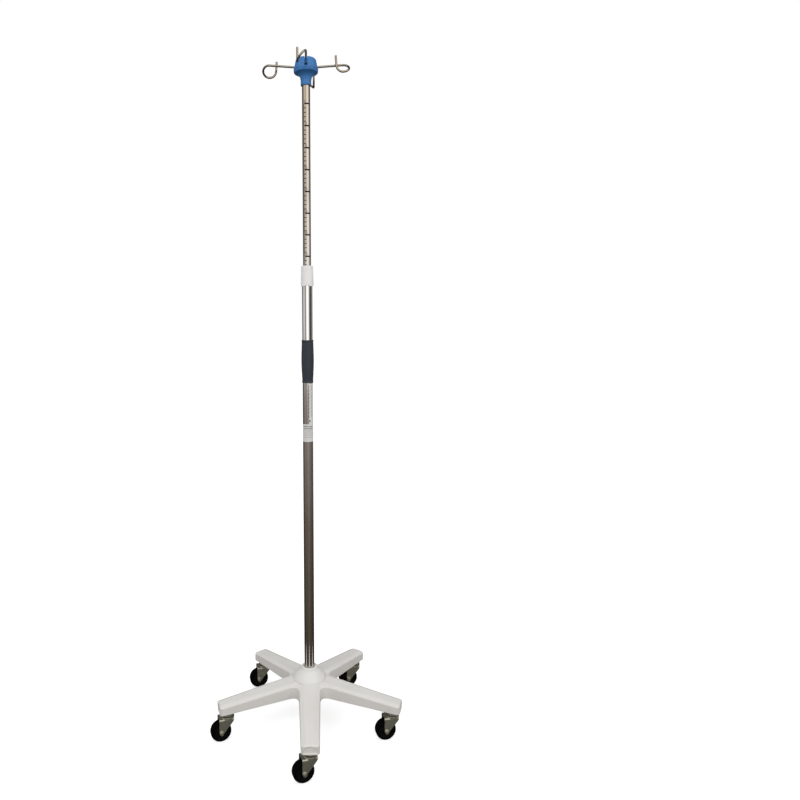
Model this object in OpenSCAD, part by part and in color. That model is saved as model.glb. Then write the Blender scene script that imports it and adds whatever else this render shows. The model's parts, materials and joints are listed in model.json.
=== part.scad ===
// Telescopic drip stand: five-leg base on swivel casters, two-part mast with a
// twist-lock collar, and a head with four folding wire hooks.
// Millimetres. The origin is on the floor, on the mast axis. +Z is up and -Y is the front.

/* [Base] */
// Distance from the mast axis to the end of a leg
leg_reach = 231; // [226:1:240]
// Half width of a leg's shoulder at the hub
leg_root_half = 26; // [25:0.5:27]
// Half width of a leg's shoulder at its end
leg_tip_half = 20; // [19:0.5:21]
// Height of a leg's crown at the hub
leg_root_top = 120; // [118:1:121]
// Height of a leg's crown at its end
leg_tip_top = 93; // [92:1:95]
// Height of the lower edge of a leg at the hub
leg_root_low = 87; // [85:1:89]
// Height of the lower edge of a leg at its end
leg_tip_low = 71; // [70:1:71]
// Wall thickness of the moulded legs
leg_wall = 3.5; // [3:0.5:4]
// Radius of the circle through the five caster stems
stem_circle = 210; // [207:1:213]
// Outer diameter of the domed hub cover
cover_d = 80; // [76:1:84]
// Height of the top of the hub cover
cover_top = 150; // [148:1:152]

/* [Casters] */
// Diameter of a wheel over its tyre
wheel_d = 50; // [48:1:51]
// Width of a wheel over its tyre
wheel_w = 20; // [18:1:21]
// Distance that the axle trails behind the stem
trail = 17; // [15:1:19]
// Thickness of the pressed fork
fork_wall = 2.2; // [2:0.1:2.4]
// Diameter of the axle bolt
axle_d = 6; // [5:0.5:6]
// Diameter of the kingpin that the fork turns on
kingpin_d = 8; // [7:0.5:9]

/* [Mast] */
// Outer diameter of the lower tube
lower_d = 25; // [24:0.5:25.4]
// Outer diameter of the upper tube
upper_d = 19; // [18:0.5:19]
// Height of the top of the lower tube
lower_top = 1098; // [1080:1:1110]
// Length of the upper tube
upper_len = 950; // [900:10:980]
// Height of the underside of the hook head with the mast as drawn
head_z = 1556; // [1500:1:1600]

/* [Lock collar] */
// Height of the collar
collar_h = 48; // [46:1:50]
// Diameter of the collar at its lower edge
collar_low_d = 31; // [31:0.5:33]
// Diameter of the collar at its upper edge
collar_top_d = 28; // [28:0.5:29]
// Number of finger grooves round the collar
collar_grooves = 16; // [12:1:18]

/* [Grip and labels] */
// Height of the lower end of the hand grip
grip_z = 863; // [840:1:880]
// Length of the hand grip
grip_len = 103; // [90:1:110]
// Largest diameter of the hand grip
grip_d = 30.4; // [29:0.1:33]
// Height of the lower edge of the band label
band_z = 720; // [700:1:730]
// Width of the band label
band_w = 43; // [30:1:50]

/* [Head] */
// Diameter of the head at its rim
rim_d = 57; // [56:0.5:59]
// Height of the head's lower body, from the neck to the rim
body_h = 34; // [33:1:36]
// Height of the slotted cap
cap_h = 27; // [26.5:0.5:29]
// Diameter of the neck at its lower end
neck_d = 25; // [24.6:0.2:26]

/* [Hooks] */
// Diameter of the hook wire
wire_d = 5; // [4.5:0.1:5]
// Distance from the mast axis to a hook's pivot
pivot_r = 12.5; // [12.2:0.1:12.8]
// Length of the straight part of a hook
hook_rod = 72.3; // [66:0.1:76]
// Bend radius of the hook's first half turn
bend_r = 14.2; // [13:0.1:15]
// Bend radius of the hook's last quarter turn
lift_r = 15.3; // [14:0.1:16]
// Rise of a lowered hook above the horizontal
hook_rise = 4; // [3:0.5:5]

/* [Hidden] */
LEGS = 5;
HOOKS = 4;
leg_turn = 360 / LEGS;
hook_turn = 360 / HOOKS;
overlap = 0.5;
far = 400;

// Legs
hub_r = 44;
recess_r = 15.5;
recess_low = leg_tip_low + 3.5;
recess_depth = 1.2;
end_wall = 5;
end_edge = 1.5;
shoulder_drop = 4;
crown_share = 0.62;
leg_bevel = 4;
web_r = 18;
web_top = 113;
web_low = leg_root_low + 0.6;
web_bite = 2;
socket_d = 42;
socket_low = leg_root_low;
socket_floor = socket_low + 11;
cover_seat = leg_root_top - 1;
hub_core_r = hub_r - 3;
hub_wall = 3.5;
hub_rib_turn = 7;
socket_skin = 1.5;
socket_top = 138;
cover_gap = 0.2;
cover_fit = 0.3;
tube_gap = 0.05;
bolt_gap = 0.25;
// The dome's outline: inset from its edge, height over its seat
cover_dome = [[0.6, 0], [0, 0.8], [0.8, 4], [3, 8], [7.5, 13.5], [13, 19], [18, 23.5]];
// The ring round the mast: radius, height over the dome's top
cover_ring = [[21, -4.4], [20, -1.8], [18.2, -0.4], [16, 0], [14, -0.4]];
caster_boss_d = 20;
stem_d = 11;
stem_top = 88;
rib_w = 2.4;
rib_drop = 6;
rib_places = [90, 130, 170];

// Casters
axle_z = wheel_d / 2;
fork_gap = wheel_w + 4;
fork_top = wheel_d + 9;
fork_plate_w = fork_gap + 2 * fork_wall;
race_d = 33;
race_h = 4;
race_top = leg_tip_low - 2.5;
race_low = fork_top + 2;
ball_d = race_top - race_h - race_low - 0.1;
ball_count = 14;
ball_circle = 24;
running_fit = 0.06;
fork_lobe = 5.5;
fork_front = 14;
fork_front_h = 6;
fork_slant = 38;
nut_w = 10;
nut_h = 3.6;
thread_past = 1;
core_wall = 7;
heading = [198, 190, 190, 192, 198];

// Mast
tube_wall = 1.2;
upper_wall = 1;
bush_h = 30;
bush_play = 0.2;
ring_h = 2;
upper_low = head_z + body_h - 4 - upper_len;
bush_low = upper_low + 8;
slide_fit = 0.05;
label_t = 0.2;
label_start = -78;
label_turn = 110;
plug_h = 26;
bolt_d = 10;

// Collar
collar_z = lower_top - 4;
collar_top = collar_z + collar_h;
collet_z = collar_z + 2;
collet_skirt_h = 18;
collet_skirt_d = 26.8;
collet_finger_d = 23.8;
lip_h = 4;
scallop_r = 7;
scallop_rise = 2.5;
collar_gap = 0.3;
mouth_gap = 0.4;
collar_bevel = 1.2;
groove_d = 2.2;
groove_out = 0.6;
groove_stop = 6;

// Head
rim_z = head_z + body_h;
pivot_z = rim_z + 7;
core_d = 37;
core_h = 13;
slot_w = wire_d + 1.2;
slot_floor = rim_z + 2.4;
tube_seat = rim_z - 4;
pin_d = 3;
pin_len = 14;
eye_d = 8;
eye_gap = 0.6;
cap_wall = 5;
cap_gap = 0.2;
cap_lip = 4.2;
pocket_turn = 20;
pocket_roof = 10;
screw_d = 5;
screw_thread_d = 4.2;
screw_sink = 3;
// The cap's outline: inset from the rim, height over the rim
cap_side = [[0, 0], [0, 3.4], [0.5, 4.2]];
// The same near its crown: inset from the rim, height over the top
cap_crown = [[3.6, -8], [4.6, -4.2], [6.6, -1.6], [9.6, -0.3], [12, 0]];

// Hook bend: the half turn drops and shifts the wire by these amounts
bend_drop = 21;
bend_tilt = acos(bend_drop / (2 * bend_r));
bend_side = 2 * bend_r * sin(bend_tilt);
tip_rise = 16;
seam = 0.04;

CASTER_PARTS = ["caster_stem", "swivel_balls", "caster_fork", "axle_bolt", "wheel_core", "wheel_tyre"];
$fn = 64;

// ---------- Shared shapes ----------

// A solid turned from a list of [radius, height] points
module turned(points) {
    rotate_extrude() polygon(points);
}

// A plain cylinder between two heights
module cylinder_between(d, low, high) {
    translate([0, 0, low]) cylinder(d = d, h = high - low);
}

// A plain tube standing on height z
module pipe(d_out, d_in, z, h) {
    translate([0, 0, z]) difference() {
        cylinder(d = d_out, h = h);
        translate([0, 0, -overlap]) cylinder(d = d_in, h = h + 2 * overlap);
    }
}

// The place and heading of caster i
module at_caster(i) {
    turn = -90 + (i - 1) * leg_turn;
    rotate(turn) translate([stem_circle, 0, 0]) rotate(heading[i - 1] - turn) children();
}

// ---------- Base ----------

// Heights along a leg, worked out at distance x from the mast axis
function along(x, root, tip) = root + (tip - root) * (x - hub_r) / (leg_reach - hub_r);

// A leg's block along +X, drawn in by a wall thickness and reaching down by an extra depth
module leg_block(inset, extra) {
    start = socket_d / 2 - 1;
    end = leg_reach - inset;
    side_start = along(start, leg_root_half, leg_tip_half) - inset;
    side_end = leg_tip_half - inset;
    intersection() {
        linear_extrude(far) polygon([
            [start, -side_start], [start, side_start],
            [end - leg_bevel, side_end], [end, side_end - leg_bevel],
            [end, leg_bevel - side_end], [end - leg_bevel, -side_end]
        ]);
        rotate([90, 0, 0]) translate([0, 0, -far / 2]) linear_extrude(far) polygon([
            [start, along(start, leg_root_top, leg_tip_top) - inset],
            [start, along(start, leg_root_low, leg_tip_low) - extra],
            [end, leg_tip_low - extra], [end, leg_tip_top - inset - end_edge],
            [end - end_edge, along(end - end_edge, leg_root_top, leg_tip_top) - inset]
        ]);
    }
}

// The sloping shoulder planed off one long edge of a leg
module leg_shoulder(side) {
    run = leg_root_half * (1 - crown_share);
    slope = atan((leg_root_top - leg_tip_top) / (leg_reach - hub_r));
    taper = atan((leg_root_half - leg_tip_half) / (leg_reach - hub_r));
    translate([hub_r, side * leg_root_half, leg_root_top - shoulder_drop])
        rotate([-side * atan(shoulder_drop / run), slope, -side * taper])
        translate([-far, -far, 0]) cube([2 * far, 2 * far, far]);
}

// The shallow half-round recess in a leg's end
module leg_recess() {
    intersection() {
        translate([leg_reach - recess_depth, 0, recess_low]) rotate([0, 90, 0])
            cylinder(r = recess_r, h = far);
        translate([0, -far / 2, recess_low]) cube([far, far, far]);
    }
}

module leg_outer() {
    difference() {
        leg_block(0, 0);
        for (side = [-1, 1]) leg_shoulder(side);
        leg_recess();
    }
}

// The open space inside a leg, around its caster boss and cross ribs
module leg_hollow() {
    difference() {
        leg_block(leg_wall, overlap);
        cylinder(r = hub_core_r + 1, h = far);
        translate([stem_circle, 0, 0]) cylinder(d = caster_boss_d, h = far);
        translate([leg_reach - end_wall, -far / 2, 0]) cube([far, far, far]);
        for (x = rib_places) leg_rib(x);
        leg_spine();
    }
}

// A cross rib inside a leg
module leg_rib(x) {
    translate([x - rib_w / 2, -far / 2, along(x, leg_root_low, leg_tip_low) + rib_drop])
        cube([rib_w, far, far]);
}

// The rib along the middle of a leg
module leg_spine() {
    rotate([90, 0, 0]) translate([0, 0, -rib_w / 2]) linear_extrude(rib_w) polygon([
        [0, along(0, leg_root_low, leg_tip_low) + rib_drop], [leg_reach, leg_tip_low + rib_drop],
        [leg_reach, far], [0, far]
    ]);
}

// The rounded web that fills the corner between two legs
module corner_web() {
    wall = along(hub_r + web_r, leg_root_half, leg_tip_half) - web_bite;
    centre = (wall + web_r) / sin(leg_turn / 2);
    tangent = (wall + web_r) / tan(leg_turn / 2);
    rotate(leg_turn / 2) translate([0, 0, web_low]) linear_extrude(web_top - web_low)
        difference() {
            polygon([[0, 0], [tangent * cos(leg_turn / 2) + wall * sin(leg_turn / 2),
                              -tangent * sin(leg_turn / 2) + wall * cos(leg_turn / 2)],
                     [centre, 0],
                     [tangent * cos(leg_turn / 2) + wall * sin(leg_turn / 2),
                      tangent * sin(leg_turn / 2) - wall * cos(leg_turn / 2)]]);
            translate([centre, 0]) circle(r = web_r);
        }
}

// The open pockets under the hub, between its ribs
module hub_pockets() {
    inner = socket_d / 2 + socket_skin;
    outer = hub_core_r - hub_wall;
    for (i = [0:LEGS - 1]) rotate(-90 + i * leg_turn + hub_rib_turn)
        translate([0, 0, leg_root_low - overlap]) rotate_extrude(angle = leg_turn - 2 * hub_rib_turn)
        translate([inner, 0]) square([outer - inner, cover_seat - hub_wall - leg_root_low]);
}

module star_shell() {
    for (i = [0:LEGS - 1]) rotate(-90 + i * leg_turn) {
        difference() {
            leg_outer();
            leg_hollow();
        }
        corner_web();
    }
    cylinder_between(2 * hub_core_r, leg_root_low, cover_seat);
}

module base_star() {
    color("whitesmoke") difference() {
        union() {
            difference() {
                star_shell();
                cylinder_between(cover_d + 2 * cover_gap, cover_seat, far);
                hub_pockets();
            }
            cylinder_between(socket_d, socket_low, socket_top);
        }
        cylinder_between(lower_d + 2 * tube_gap, socket_floor, far);
        cylinder_between(bolt_d + 2 * bolt_gap, 0, far);
        for (i = [0:LEGS - 1]) rotate(-90 + i * leg_turn) translate([stem_circle, 0, 0])
            cylinder(d = stem_d, h = stem_top);
    }
}

module hub_cover() {
    bore_r = lower_d / 2 + cover_fit;
    socket_r = socket_d / 2 + cover_fit;
    inner_top = socket_top + cover_gap;
    color("white") turned(concat(
        [[socket_r, cover_seat]],
        [for (p = cover_dome) [cover_d / 2 - p[0], cover_seat + p[1]]],
        [for (p = cover_ring) [p[0], cover_top + p[1]]],
        [[bore_r, cover_top - 1.6], [bore_r, inner_top], [socket_r, inner_top]]));
}

module mast_plug() {
    color("dimgray") pipe(lower_d - 2 * tube_wall, bolt_d, socket_floor, plug_h);
}

module mast_bolt() {
    bolt_len = 28;
    head_w = 19.6;
    head_h = 6;
    washer_d = 24;
    washer_h = 2;
    washer_low = socket_low - washer_h;
    color("silver") {
        translate([0, 0, washer_low]) cylinder(d = bolt_d, h = bolt_len);
        translate([0, 0, washer_low - head_h]) cylinder(d = head_w, h = head_h, $fn = 6);
        pipe(washer_d, bolt_d + 2 * bolt_gap, washer_low, washer_h);
    }
}

// ---------- Mast ----------

module lower_tube() {
    color("lightgray") pipe(lower_d, lower_d - 2 * tube_wall, socket_floor, lower_top - socket_floor);
}

module lock_collet() {
    finger_top = collar_top - lip_h - 1;
    finger_slot = 1.5;
    slot_low = collet_z + collet_skirt_h + 2;
    color("ivory") difference() {
        union() {
            cylinder_between(collet_skirt_d, collet_z, collet_z + collet_skirt_h);
            cylinder_between(collet_finger_d, collet_z, finger_top);
        }
        translate([0, 0, collet_z - overlap]) cylinder(d = lower_d, h = lower_top - collet_z + overlap);
        cylinder_between(upper_d + 2 * slide_fit, 0, collar_top);
        for (i = [0:3]) rotate(45 + i * 90) translate([0, -finger_slot / 2, slot_low])
            cube([far, finger_slot, far]);
    }
}

module hand_grip() {
    bore_r = lower_d / 2 + tube_gap;
    foot = [[13.3, 0], [13.7, 0.9], [13.6, 3.2], [13.3, 5]];
    belly = [[13.5, 12], [14.2, 24], [14.9, 38], [grip_d / 2, 54], [15, 68], [14.5, 82]];
    cuff = [[14.1, -7], [14, -4.6], [14.4, -2.8], [14.3, -0.8], [13.8, 0]];
    color("darkslategray") translate([0, 0, grip_z]) turned(concat(
        [[bore_r, 0]], foot, belly, [for (p = cuff) [p[0], grip_len + p[1]]], [[bore_r, grip_len]]));
}

module band_label() {
    color("white") pipe(lower_d + 2 * label_t, lower_d, band_z, band_w);
}

module side_label() {
    z = band_z + band_w;
    color("white") rotate(label_start) translate([0, 0, z]) rotate_extrude(angle = label_turn)
        translate([lower_d / 2, 0]) square([label_t, grip_z - z - 1]);
}

module lock_collar() {
    skirt_top = collet_z + collet_skirt_h + 2 * collar_gap;
    finger_top = collar_top - lip_h;
    slope = atan((collar_low_d - collar_top_d) / 2 / collar_h);
    color("gainsboro") difference() {
        turned([[0, collar_z], [collar_low_d / 2, collar_z], [collar_top_d / 2, collar_top - collar_bevel],
                [collar_top_d / 2 - collar_bevel, collar_top], [0, collar_top]]);
        translate([0, 0, collar_z - overlap])
            cylinder(d = collet_skirt_d + 2 * collar_gap, h = skirt_top - collar_z + overlap);
        cylinder_between(collet_finger_d + 2 * collar_gap, collar_z, finger_top);
        cylinder_between(upper_d + 2 * mouth_gap, collar_z, collar_top + 1);
        for (i = [0:collar_grooves - 1]) rotate(i * 360 / collar_grooves)
            translate([collar_low_d / 2 + groove_out, 0, collar_z - 1]) rotate([0, -slope, 0])
                cylinder(d = groove_d, h = collar_h - groove_stop, $fn = 24);
        for (i = [0:3]) rotate(i * 90) translate([0, 0, collar_z - scallop_r + scallop_rise])
            rotate([0, 90, 0]) cylinder(r = scallop_r, h = collar_low_d);
    }
}

module guide_bush() {
    color("ivory") pipe(lower_d - 2 * tube_wall - 2 * slide_fit, upper_d + 2 * slide_fit,
                        bush_low, bush_h);
}

module upper_tube() {
    color("lightgray") pipe(upper_d, upper_d - 2 * upper_wall, upper_low, upper_len);
}

// A plug in the foot of the upper tube, and a snap ring above the bush
module bush_retainer() {
    plug_low = 4;
    plug_high = 14;
    stop_h = bush_low - upper_low - bush_play;
    color("black") {
        cylinder_between(upper_d + ring_h, upper_low - plug_low, upper_low);
        cylinder_between(upper_d - 2 * upper_wall, upper_low, upper_low + plug_high);
        pipe(upper_d + ring_h, upper_d, upper_low, stop_h);
        pipe(upper_d + ring_h, upper_d, bush_low + bush_h + bush_play, ring_h);
    }
}

// ---------- Head ----------

module head_body() {
    r = rim_d / 2;
    neck_r = neck_d / 2;
    neck_edge = 0.8;
    rim_edge = 0.6;
    flare_h = 14;
    flare_top = rim_z - 6;
    flare_r = r - 1.5 - neck_r;
    steps = 8;
    color("steelblue") difference() {
        union() {
            turned(concat(
                [[0, head_z], [neck_r - neck_edge, head_z], [neck_r, head_z + neck_edge]],
                [for (k = [0:steps]) let (a = k * 90 / steps)
                    [neck_r + flare_r * (1 - cos(a)), flare_top - flare_h + flare_h * sin(a)]],
                [[r - rim_edge, rim_z - 4], [r, rim_z - 2], [r, rim_z], [0, rim_z]]));
            cylinder_between(core_d, rim_z, rim_z + core_h);
        }
        cylinder_between(upper_d, head_z - overlap, tube_seat);
        cylinder_between(screw_thread_d, rim_z - 8, rim_z + far);
        for (i = [0:HOOKS - 1]) rotate(i * hook_turn) {
            translate([pivot_r - eye_d / 2 - eye_gap, -slot_w / 2, slot_floor]) cube([far, slot_w, far]);
            hook_pin();
        }
    }
}

module head_cap() {
    top = rim_z + cap_h;
    inner = core_d / 2 + cap_gap;
    screw_r = screw_d / 2 + cap_gap;
    slot_start = pivot_r - wire_d / 2 - 1.4;
    cap_slot = slot_w + cap_gap;
    color("steelblue") difference() {
        turned(concat(
            [[inner, rim_z]],
            [for (p = cap_side) [rim_d / 2 - p[0], rim_z + p[1]]],
            [for (p = cap_crown) [rim_d / 2 - p[0], top + p[1]]],
            [[screw_r, top], [screw_r, rim_z + core_h], [inner, rim_z + core_h]]));
        for (i = [0:HOOKS - 1]) rotate(i * hook_turn) translate([slot_start, -cap_slot / 2, rim_z + cap_lip])
            cube([far, cap_slot, far]);
        cap_pockets(inner + 2, rim_d / 2 - cap_wall);
        translate([0, 0, top - screw_sink]) cylinder(d = 2 * screw_d, h = far);
    }
}

// Hollows under the cap, between the slots
module cap_pockets(r_in, r_out) {
    for (i = [0:HOOKS - 1]) rotate(i * hook_turn + pocket_turn) translate([0, 0, rim_z - 1])
        rotate_extrude(angle = hook_turn - 2 * pocket_turn) translate([r_in, 0])
        square([r_out - r_in, cap_h - pocket_roof]);
}

module head_screw() {
    head_low = rim_z + cap_h - screw_sink;
    head_h = 2.6;
    hex_d = 3.4;
    color("silver") difference() {
        union() {
            cylinder_between(screw_thread_d, rim_z - 6, head_low);
            cylinder_between(2 * screw_d - 2 * cap_gap, head_low, head_low + head_h);
        }
        translate([0, 0, head_low + 1]) cylinder(d = hex_d, h = far, $fn = 6);
    }
}

// A hook's pin, drawn for the hook along +X
module hook_pin() {
    translate([pivot_r, -pin_len / 2, pivot_z]) rotate([-90, 0, 0]) cylinder(d = pin_d, h = pin_len);
}

module hook_pins() {
    color("silver") for (i = [0:HOOKS - 1]) rotate(i * hook_turn) hook_pin();
}

// One wire hook, drawn along +X from its pivot. Each length of wire is a hair thinner
// than the one before it and starts just inside it, so that the lengths join cleanly.
module hook_shape() {
    eye_w = slot_w - eye_gap;
    low = lift_r - bend_drop;
    difference() {
        union() {
            rotate([90, 0, 0]) translate([0, 0, -eye_w / 2]) cylinder(d = eye_d, h = eye_w);
            rotate([0, 90, 0]) cylinder(d = wire_d, h = hook_rod + seam);
            translate([hook_rod, 0, 0]) rotate([90 - bend_tilt, 0, 0]) translate([0, -bend_r, 0])
                rotate(-90) wire_bend(bend_r, 180, wire_d - seam);
            translate([hook_rod, -bend_side, low]) rotate([90, 0, 0])
                rotate(180) wire_bend(lift_r, 90, wire_d - 2 * seam);
            translate([hook_rod - lift_r, -bend_side, low])
                cylinder(d = wire_d - 3 * seam, h = tip_rise - low);
        }
        rotate([90, 0, 0]) translate([0, 0, -wire_d * 2])
            cylinder(d = pin_d + 2 * running_fit, h = wire_d * 4);
    }
}

// A bent length of wire about Z that runs a hair past the +X axis
module wire_bend(r, turn, d) {
    past = seam * 90 / r;
    rotate(-past) rotate_extrude(angle = turn + past) translate([r, 0]) circle(d = d);
}

module hook() {
    color("silver") translate([pivot_r, 0, pivot_z]) rotate([0, -hook_rise, 0]) hook_shape();
}

// ---------- Casters ----------

module caster_stem() {
    rivet_r = 6.5;
    rivet_edge = 1;
    rivet_low = fork_top - 6.2;
    rivet_high = fork_top - fork_wall - 0.3;
    r = kingpin_d / 2;
    collar_r = 8;
    collar_high = leg_tip_low - 0.2;
    race_skirt = race_top - race_h;
    color("silver") turned([
        [0, rivet_low], [rivet_r - rivet_edge, rivet_low], [rivet_r, rivet_low + rivet_edge],
        [rivet_r, rivet_high], [r, rivet_high], [r, race_skirt],
        [race_d / 2 - 3, race_skirt], [race_d / 2, race_skirt + 1.2], [race_d / 2, race_top - 1],
        [race_d / 2 - 2, race_top], [collar_r, race_top], [collar_r, collar_high], [stem_d / 2, collar_high],
        [stem_d / 2, stem_top - 1], [stem_d / 2 - 1, stem_top], [0, stem_top]
    ]);
}

module swivel_balls() {
    color("lightgray") for (i = [0:ball_count - 1]) rotate(i * 360 / ball_count)
        translate([ball_circle / 2, 0, (race_low + race_top - race_h) / 2]) sphere(d = ball_d, $fn = 24);
}

// Outline of one side plate of a fork, in trail direction and height
module fork_outline() {
    difference() {
        union() {
            polygon([[-fork_front, fork_top], [trail + fork_lobe, fork_top], [trail + fork_lobe, axle_z],
                     [trail - fork_lobe * cos(fork_slant), axle_z - fork_lobe * sin(fork_slant)],
                     [-fork_front, fork_top - fork_front_h]]);
            translate([trail, axle_z]) circle(r = fork_lobe);
        }
        translate([trail, axle_z]) circle(d = axle_d);
    }
}

module caster_fork() {
    color("silver") difference() {
        union() {
            for (side = [-1, 1])
                translate([0, side * (fork_gap + fork_wall) / 2 + fork_wall / 2, 0]) rotate([90, 0, 0])
                    linear_extrude(fork_wall) fork_outline();
            translate([-fork_front, -fork_plate_w / 2, fork_top - fork_wall])
                cube([fork_front + trail + fork_lobe, fork_plate_w, fork_wall]);
            cylinder_between(race_d, fork_top - fork_wall, race_low);
        }
        cylinder(d = kingpin_d + 2 * running_fit, h = far);
    }
}

module axle_bolt() {
    half = fork_plate_w / 2;
    end = nut_h + thread_past;
    color("silver") translate([trail, 0, axle_z]) rotate([90, 0, 0]) {
        translate([0, 0, -half - end]) cylinder(d = axle_d, h = 2 * half + end);
        translate([0, 0, half]) cylinder(d = nut_w, h = nut_h, $fn = 6);
        translate([0, 0, -half - nut_h]) difference() {
            cylinder(d = nut_w, h = nut_h, $fn = 6);
            translate([0, 0, -overlap]) cylinder(d = axle_d, h = nut_h + 2 * overlap);
        }
    }
}

// Places a wheel part, turned about Z, on the axle
module on_axle() {
    translate([trail, 0, axle_z]) rotate([90, 0, 0]) children();
}

module wheel_core() {
    rim_r = wheel_d / 2 - core_wall;
    bore_r = axle_d / 2 + running_fit;
    hub_half = wheel_w / 2 + 1.6;
    half = wheel_w / 2;
    web_half = half - 3;
    side = [[7, -hub_half], [7.6, -web_half], [rim_r - 2.5, -web_half - 0.4],
            [rim_r - 2, -half], [rim_r, -half]];
    color("dimgray") on_axle() turned(concat(
        [[bore_r, -hub_half]], side,
        [for (k = [len(side) - 1:-1:0]) [side[k][0], -side[k][1]]],
        [[bore_r, hub_half]]));
}

module wheel_tyre() {
    r = wheel_d / 2;
    half = wheel_w / 2;
    // The tread's edge: inset from the outer radius, inset from the side
    edge = [[core_wall, 0], [4.5, 0], [2, 0.9], [0.6, 2.6], [0, 5]];
    color("#202020") on_axle() turned(concat(
        [for (p = edge) [r - p[0], -half + p[1]]],
        [for (k = [len(edge) - 1:-1:0]) [r - edge[k][0], half - edge[k][1]]]));
}

// ---------- Nodes ----------

base_star();
hub_cover();
mast_plug();
mast_bolt();
lower_tube();
lock_collet();
hand_grip();
band_label();
side_label();
lock_collar();
guide_bush();
upper_tube();
bush_retainer();
head_body();
head_cap();
head_screw();
hook_pins();
for (i = [1:HOOKS])
    rotate((i - 1) * hook_turn) hook();
for (i = [1:LEGS]) {
    at_caster(i) caster_stem();
    at_caster(i) swivel_balls();
    at_caster(i) caster_fork();
    at_caster(i) axle_bolt();
    at_caster(i) wheel_core();
    at_caster(i) wheel_tyre();
}
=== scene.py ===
import json
import math

import bpy
import numpy as np
from mathutils import Matrix, Vector


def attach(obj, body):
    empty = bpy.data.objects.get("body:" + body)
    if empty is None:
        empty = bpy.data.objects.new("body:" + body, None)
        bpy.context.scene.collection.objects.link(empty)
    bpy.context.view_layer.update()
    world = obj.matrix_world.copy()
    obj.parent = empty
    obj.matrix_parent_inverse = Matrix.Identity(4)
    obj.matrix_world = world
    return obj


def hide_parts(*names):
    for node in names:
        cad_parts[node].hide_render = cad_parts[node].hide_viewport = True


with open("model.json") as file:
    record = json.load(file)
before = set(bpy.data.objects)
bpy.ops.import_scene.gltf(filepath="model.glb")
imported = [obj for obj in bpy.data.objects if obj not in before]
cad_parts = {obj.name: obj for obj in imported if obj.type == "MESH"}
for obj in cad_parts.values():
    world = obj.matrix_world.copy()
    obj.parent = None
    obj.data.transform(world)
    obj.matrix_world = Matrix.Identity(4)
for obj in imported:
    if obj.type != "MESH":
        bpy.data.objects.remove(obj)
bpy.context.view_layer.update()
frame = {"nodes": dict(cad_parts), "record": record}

MM = 0.001

# ---------- Sizes of the CAD model, in millimetres ----------

LEGS = 5
HOOKS = 4
LEG_TURN = 360 / LEGS
LEG_REACH, HUB_R = 231, 44
LEG_ROOT_HALF, LEG_TIP_HALF = 26, 20
LEG_ROOT_TOP, LEG_TIP_TOP = 120, 93
LEG_ROOT_LOW, LEG_TIP_LOW = 87, 71
LEG_WALL = 3.5
LEG_DRAFT, LEG_SIDE_IN = 0.035, 0.8
LEG_SHOULDER, LEG_SHOULDER_DROP = 0.38 * LEG_ROOT_HALF, 4
LEG_CORNER_CUT, LEG_END_CUT, LEG_FILLET = 3.8, 2.2, 26
HUB_SKIRT_R, HUB_SKIRT_TOP = 41, 116
HOLLOW_START, BOSS_R, END_WALL, RIB_HALF, RIB_STEP_UP = 42, 10, 5, 1.2, 6
RIBS = (90, 130, 170)
RECESS_R, RECESS_LOW, RECESS_DEPTH = 15.5, 74.5, 1.2
STEM_CIRCLE, STEM_HOLE_R, STEM_TOP = 210, 5.5, 88
HUB_POCKET_R, HUB_POCKET_IN, HUB_POCKET_TOP, HUB_WEB = 37.5, 22.5, 115, math.radians(7)
COVER_SEAT, COVER_TOP, COVER_R = 119, 150, 40
SOCKET_R, SOCKET_TOP, SOCKET_FLOOR = 21, 138, 98
SOCKET_BORE_R, BOLT_HOLE_R = 12.55, 5.2
WHEEL_R, WHEEL_HALF = 25, 10
TRAIL, AXLE_Z, AXLE_R = 17, 25, 3
NUT_H, THREAD_DEPTH = 3.6, 0.12
MAST_BOLT_R, MAST_BOLT_LEN, MAST_HEX_R, MAST_HEX_H = 4.95, 28, 9.8, 6
WASHER_R, WASHER_H = 12, 2
FORK_TOP, FORK_WALL, FORK_GAP = 59, 2.2, 24
FORK_LOBE, NUT_R = 5.5, 5
FORK_BACK, FORK_BEND = -14, 3.2
BOSS_OUT, BOSS_HALF = 0.9, 0.7
RACE_R, RACE_TOP, RACE_LOW = 16.5, 68.5, 61
BALL_CIRCLE_R, CHANNEL_R = 12, 1.3
KINGPIN_R = 4
HEADING = [198, 190, 190, 192, 198]
LOWER_R, LOWER_TOP = 12.5, 1098
UPPER_R, UPPER_LEN, UPPER_LOW = 9.5, 950, 636
COLLAR_Z, COLLAR_TOP = 1094, 1142
COLLAR_LOW_R, COLLAR_TOP_R, COLLAR_GROOVES = 15.5, 14, 16
COLLAR_SKIRT_H, COLLAR_LIP = 20.6, 4
COLLAR_SKIRT_R, COLLAR_FINGER_R, COLLAR_MOUTH_R = 13.7, 12.2, 9.9
GROOVE_R, GROOVE_OUT, GROOVE_STOP = 1.1, 0.6, 5
SCALLOP_R, SCALLOP_LOW = 7, 4.5
COLLET_SKIRT_R, COLLET_FINGER_R = 13.4, 11.9
GRIP_Z, GRIP_LEN, GRIP_R = 863, 103, 15.2
BAND_Z, BAND_W = 720, 43
HEAD_Z, RIM_Z, RIM_R, NECK_R, CAP_H = 1556, 1590, 28.5, 12.5, 27
PIVOT_R, PIVOT_Z, WIRE_R = 12.5, 1597, 2.5
SLOT_W, SCREW_R = 6.2, 2.5
PIN_R, PIN_HALF = 1.5, 7
BODY_SLOT_START, BODY_SLOT_FLOOR = 7.9, 2.4
CAP_SLOT_START, CAP_SLOT_FLOOR = 8.6, 4.2
CAP_PANEL, CAP_FLUTE = math.radians(30), 0.75
CAP_POCKET_IN, CAP_POCKET_OUT, CAP_POCKET_TOP, CAP_RIB = 20.7, 23.5, 17, math.radians(20)
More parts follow.
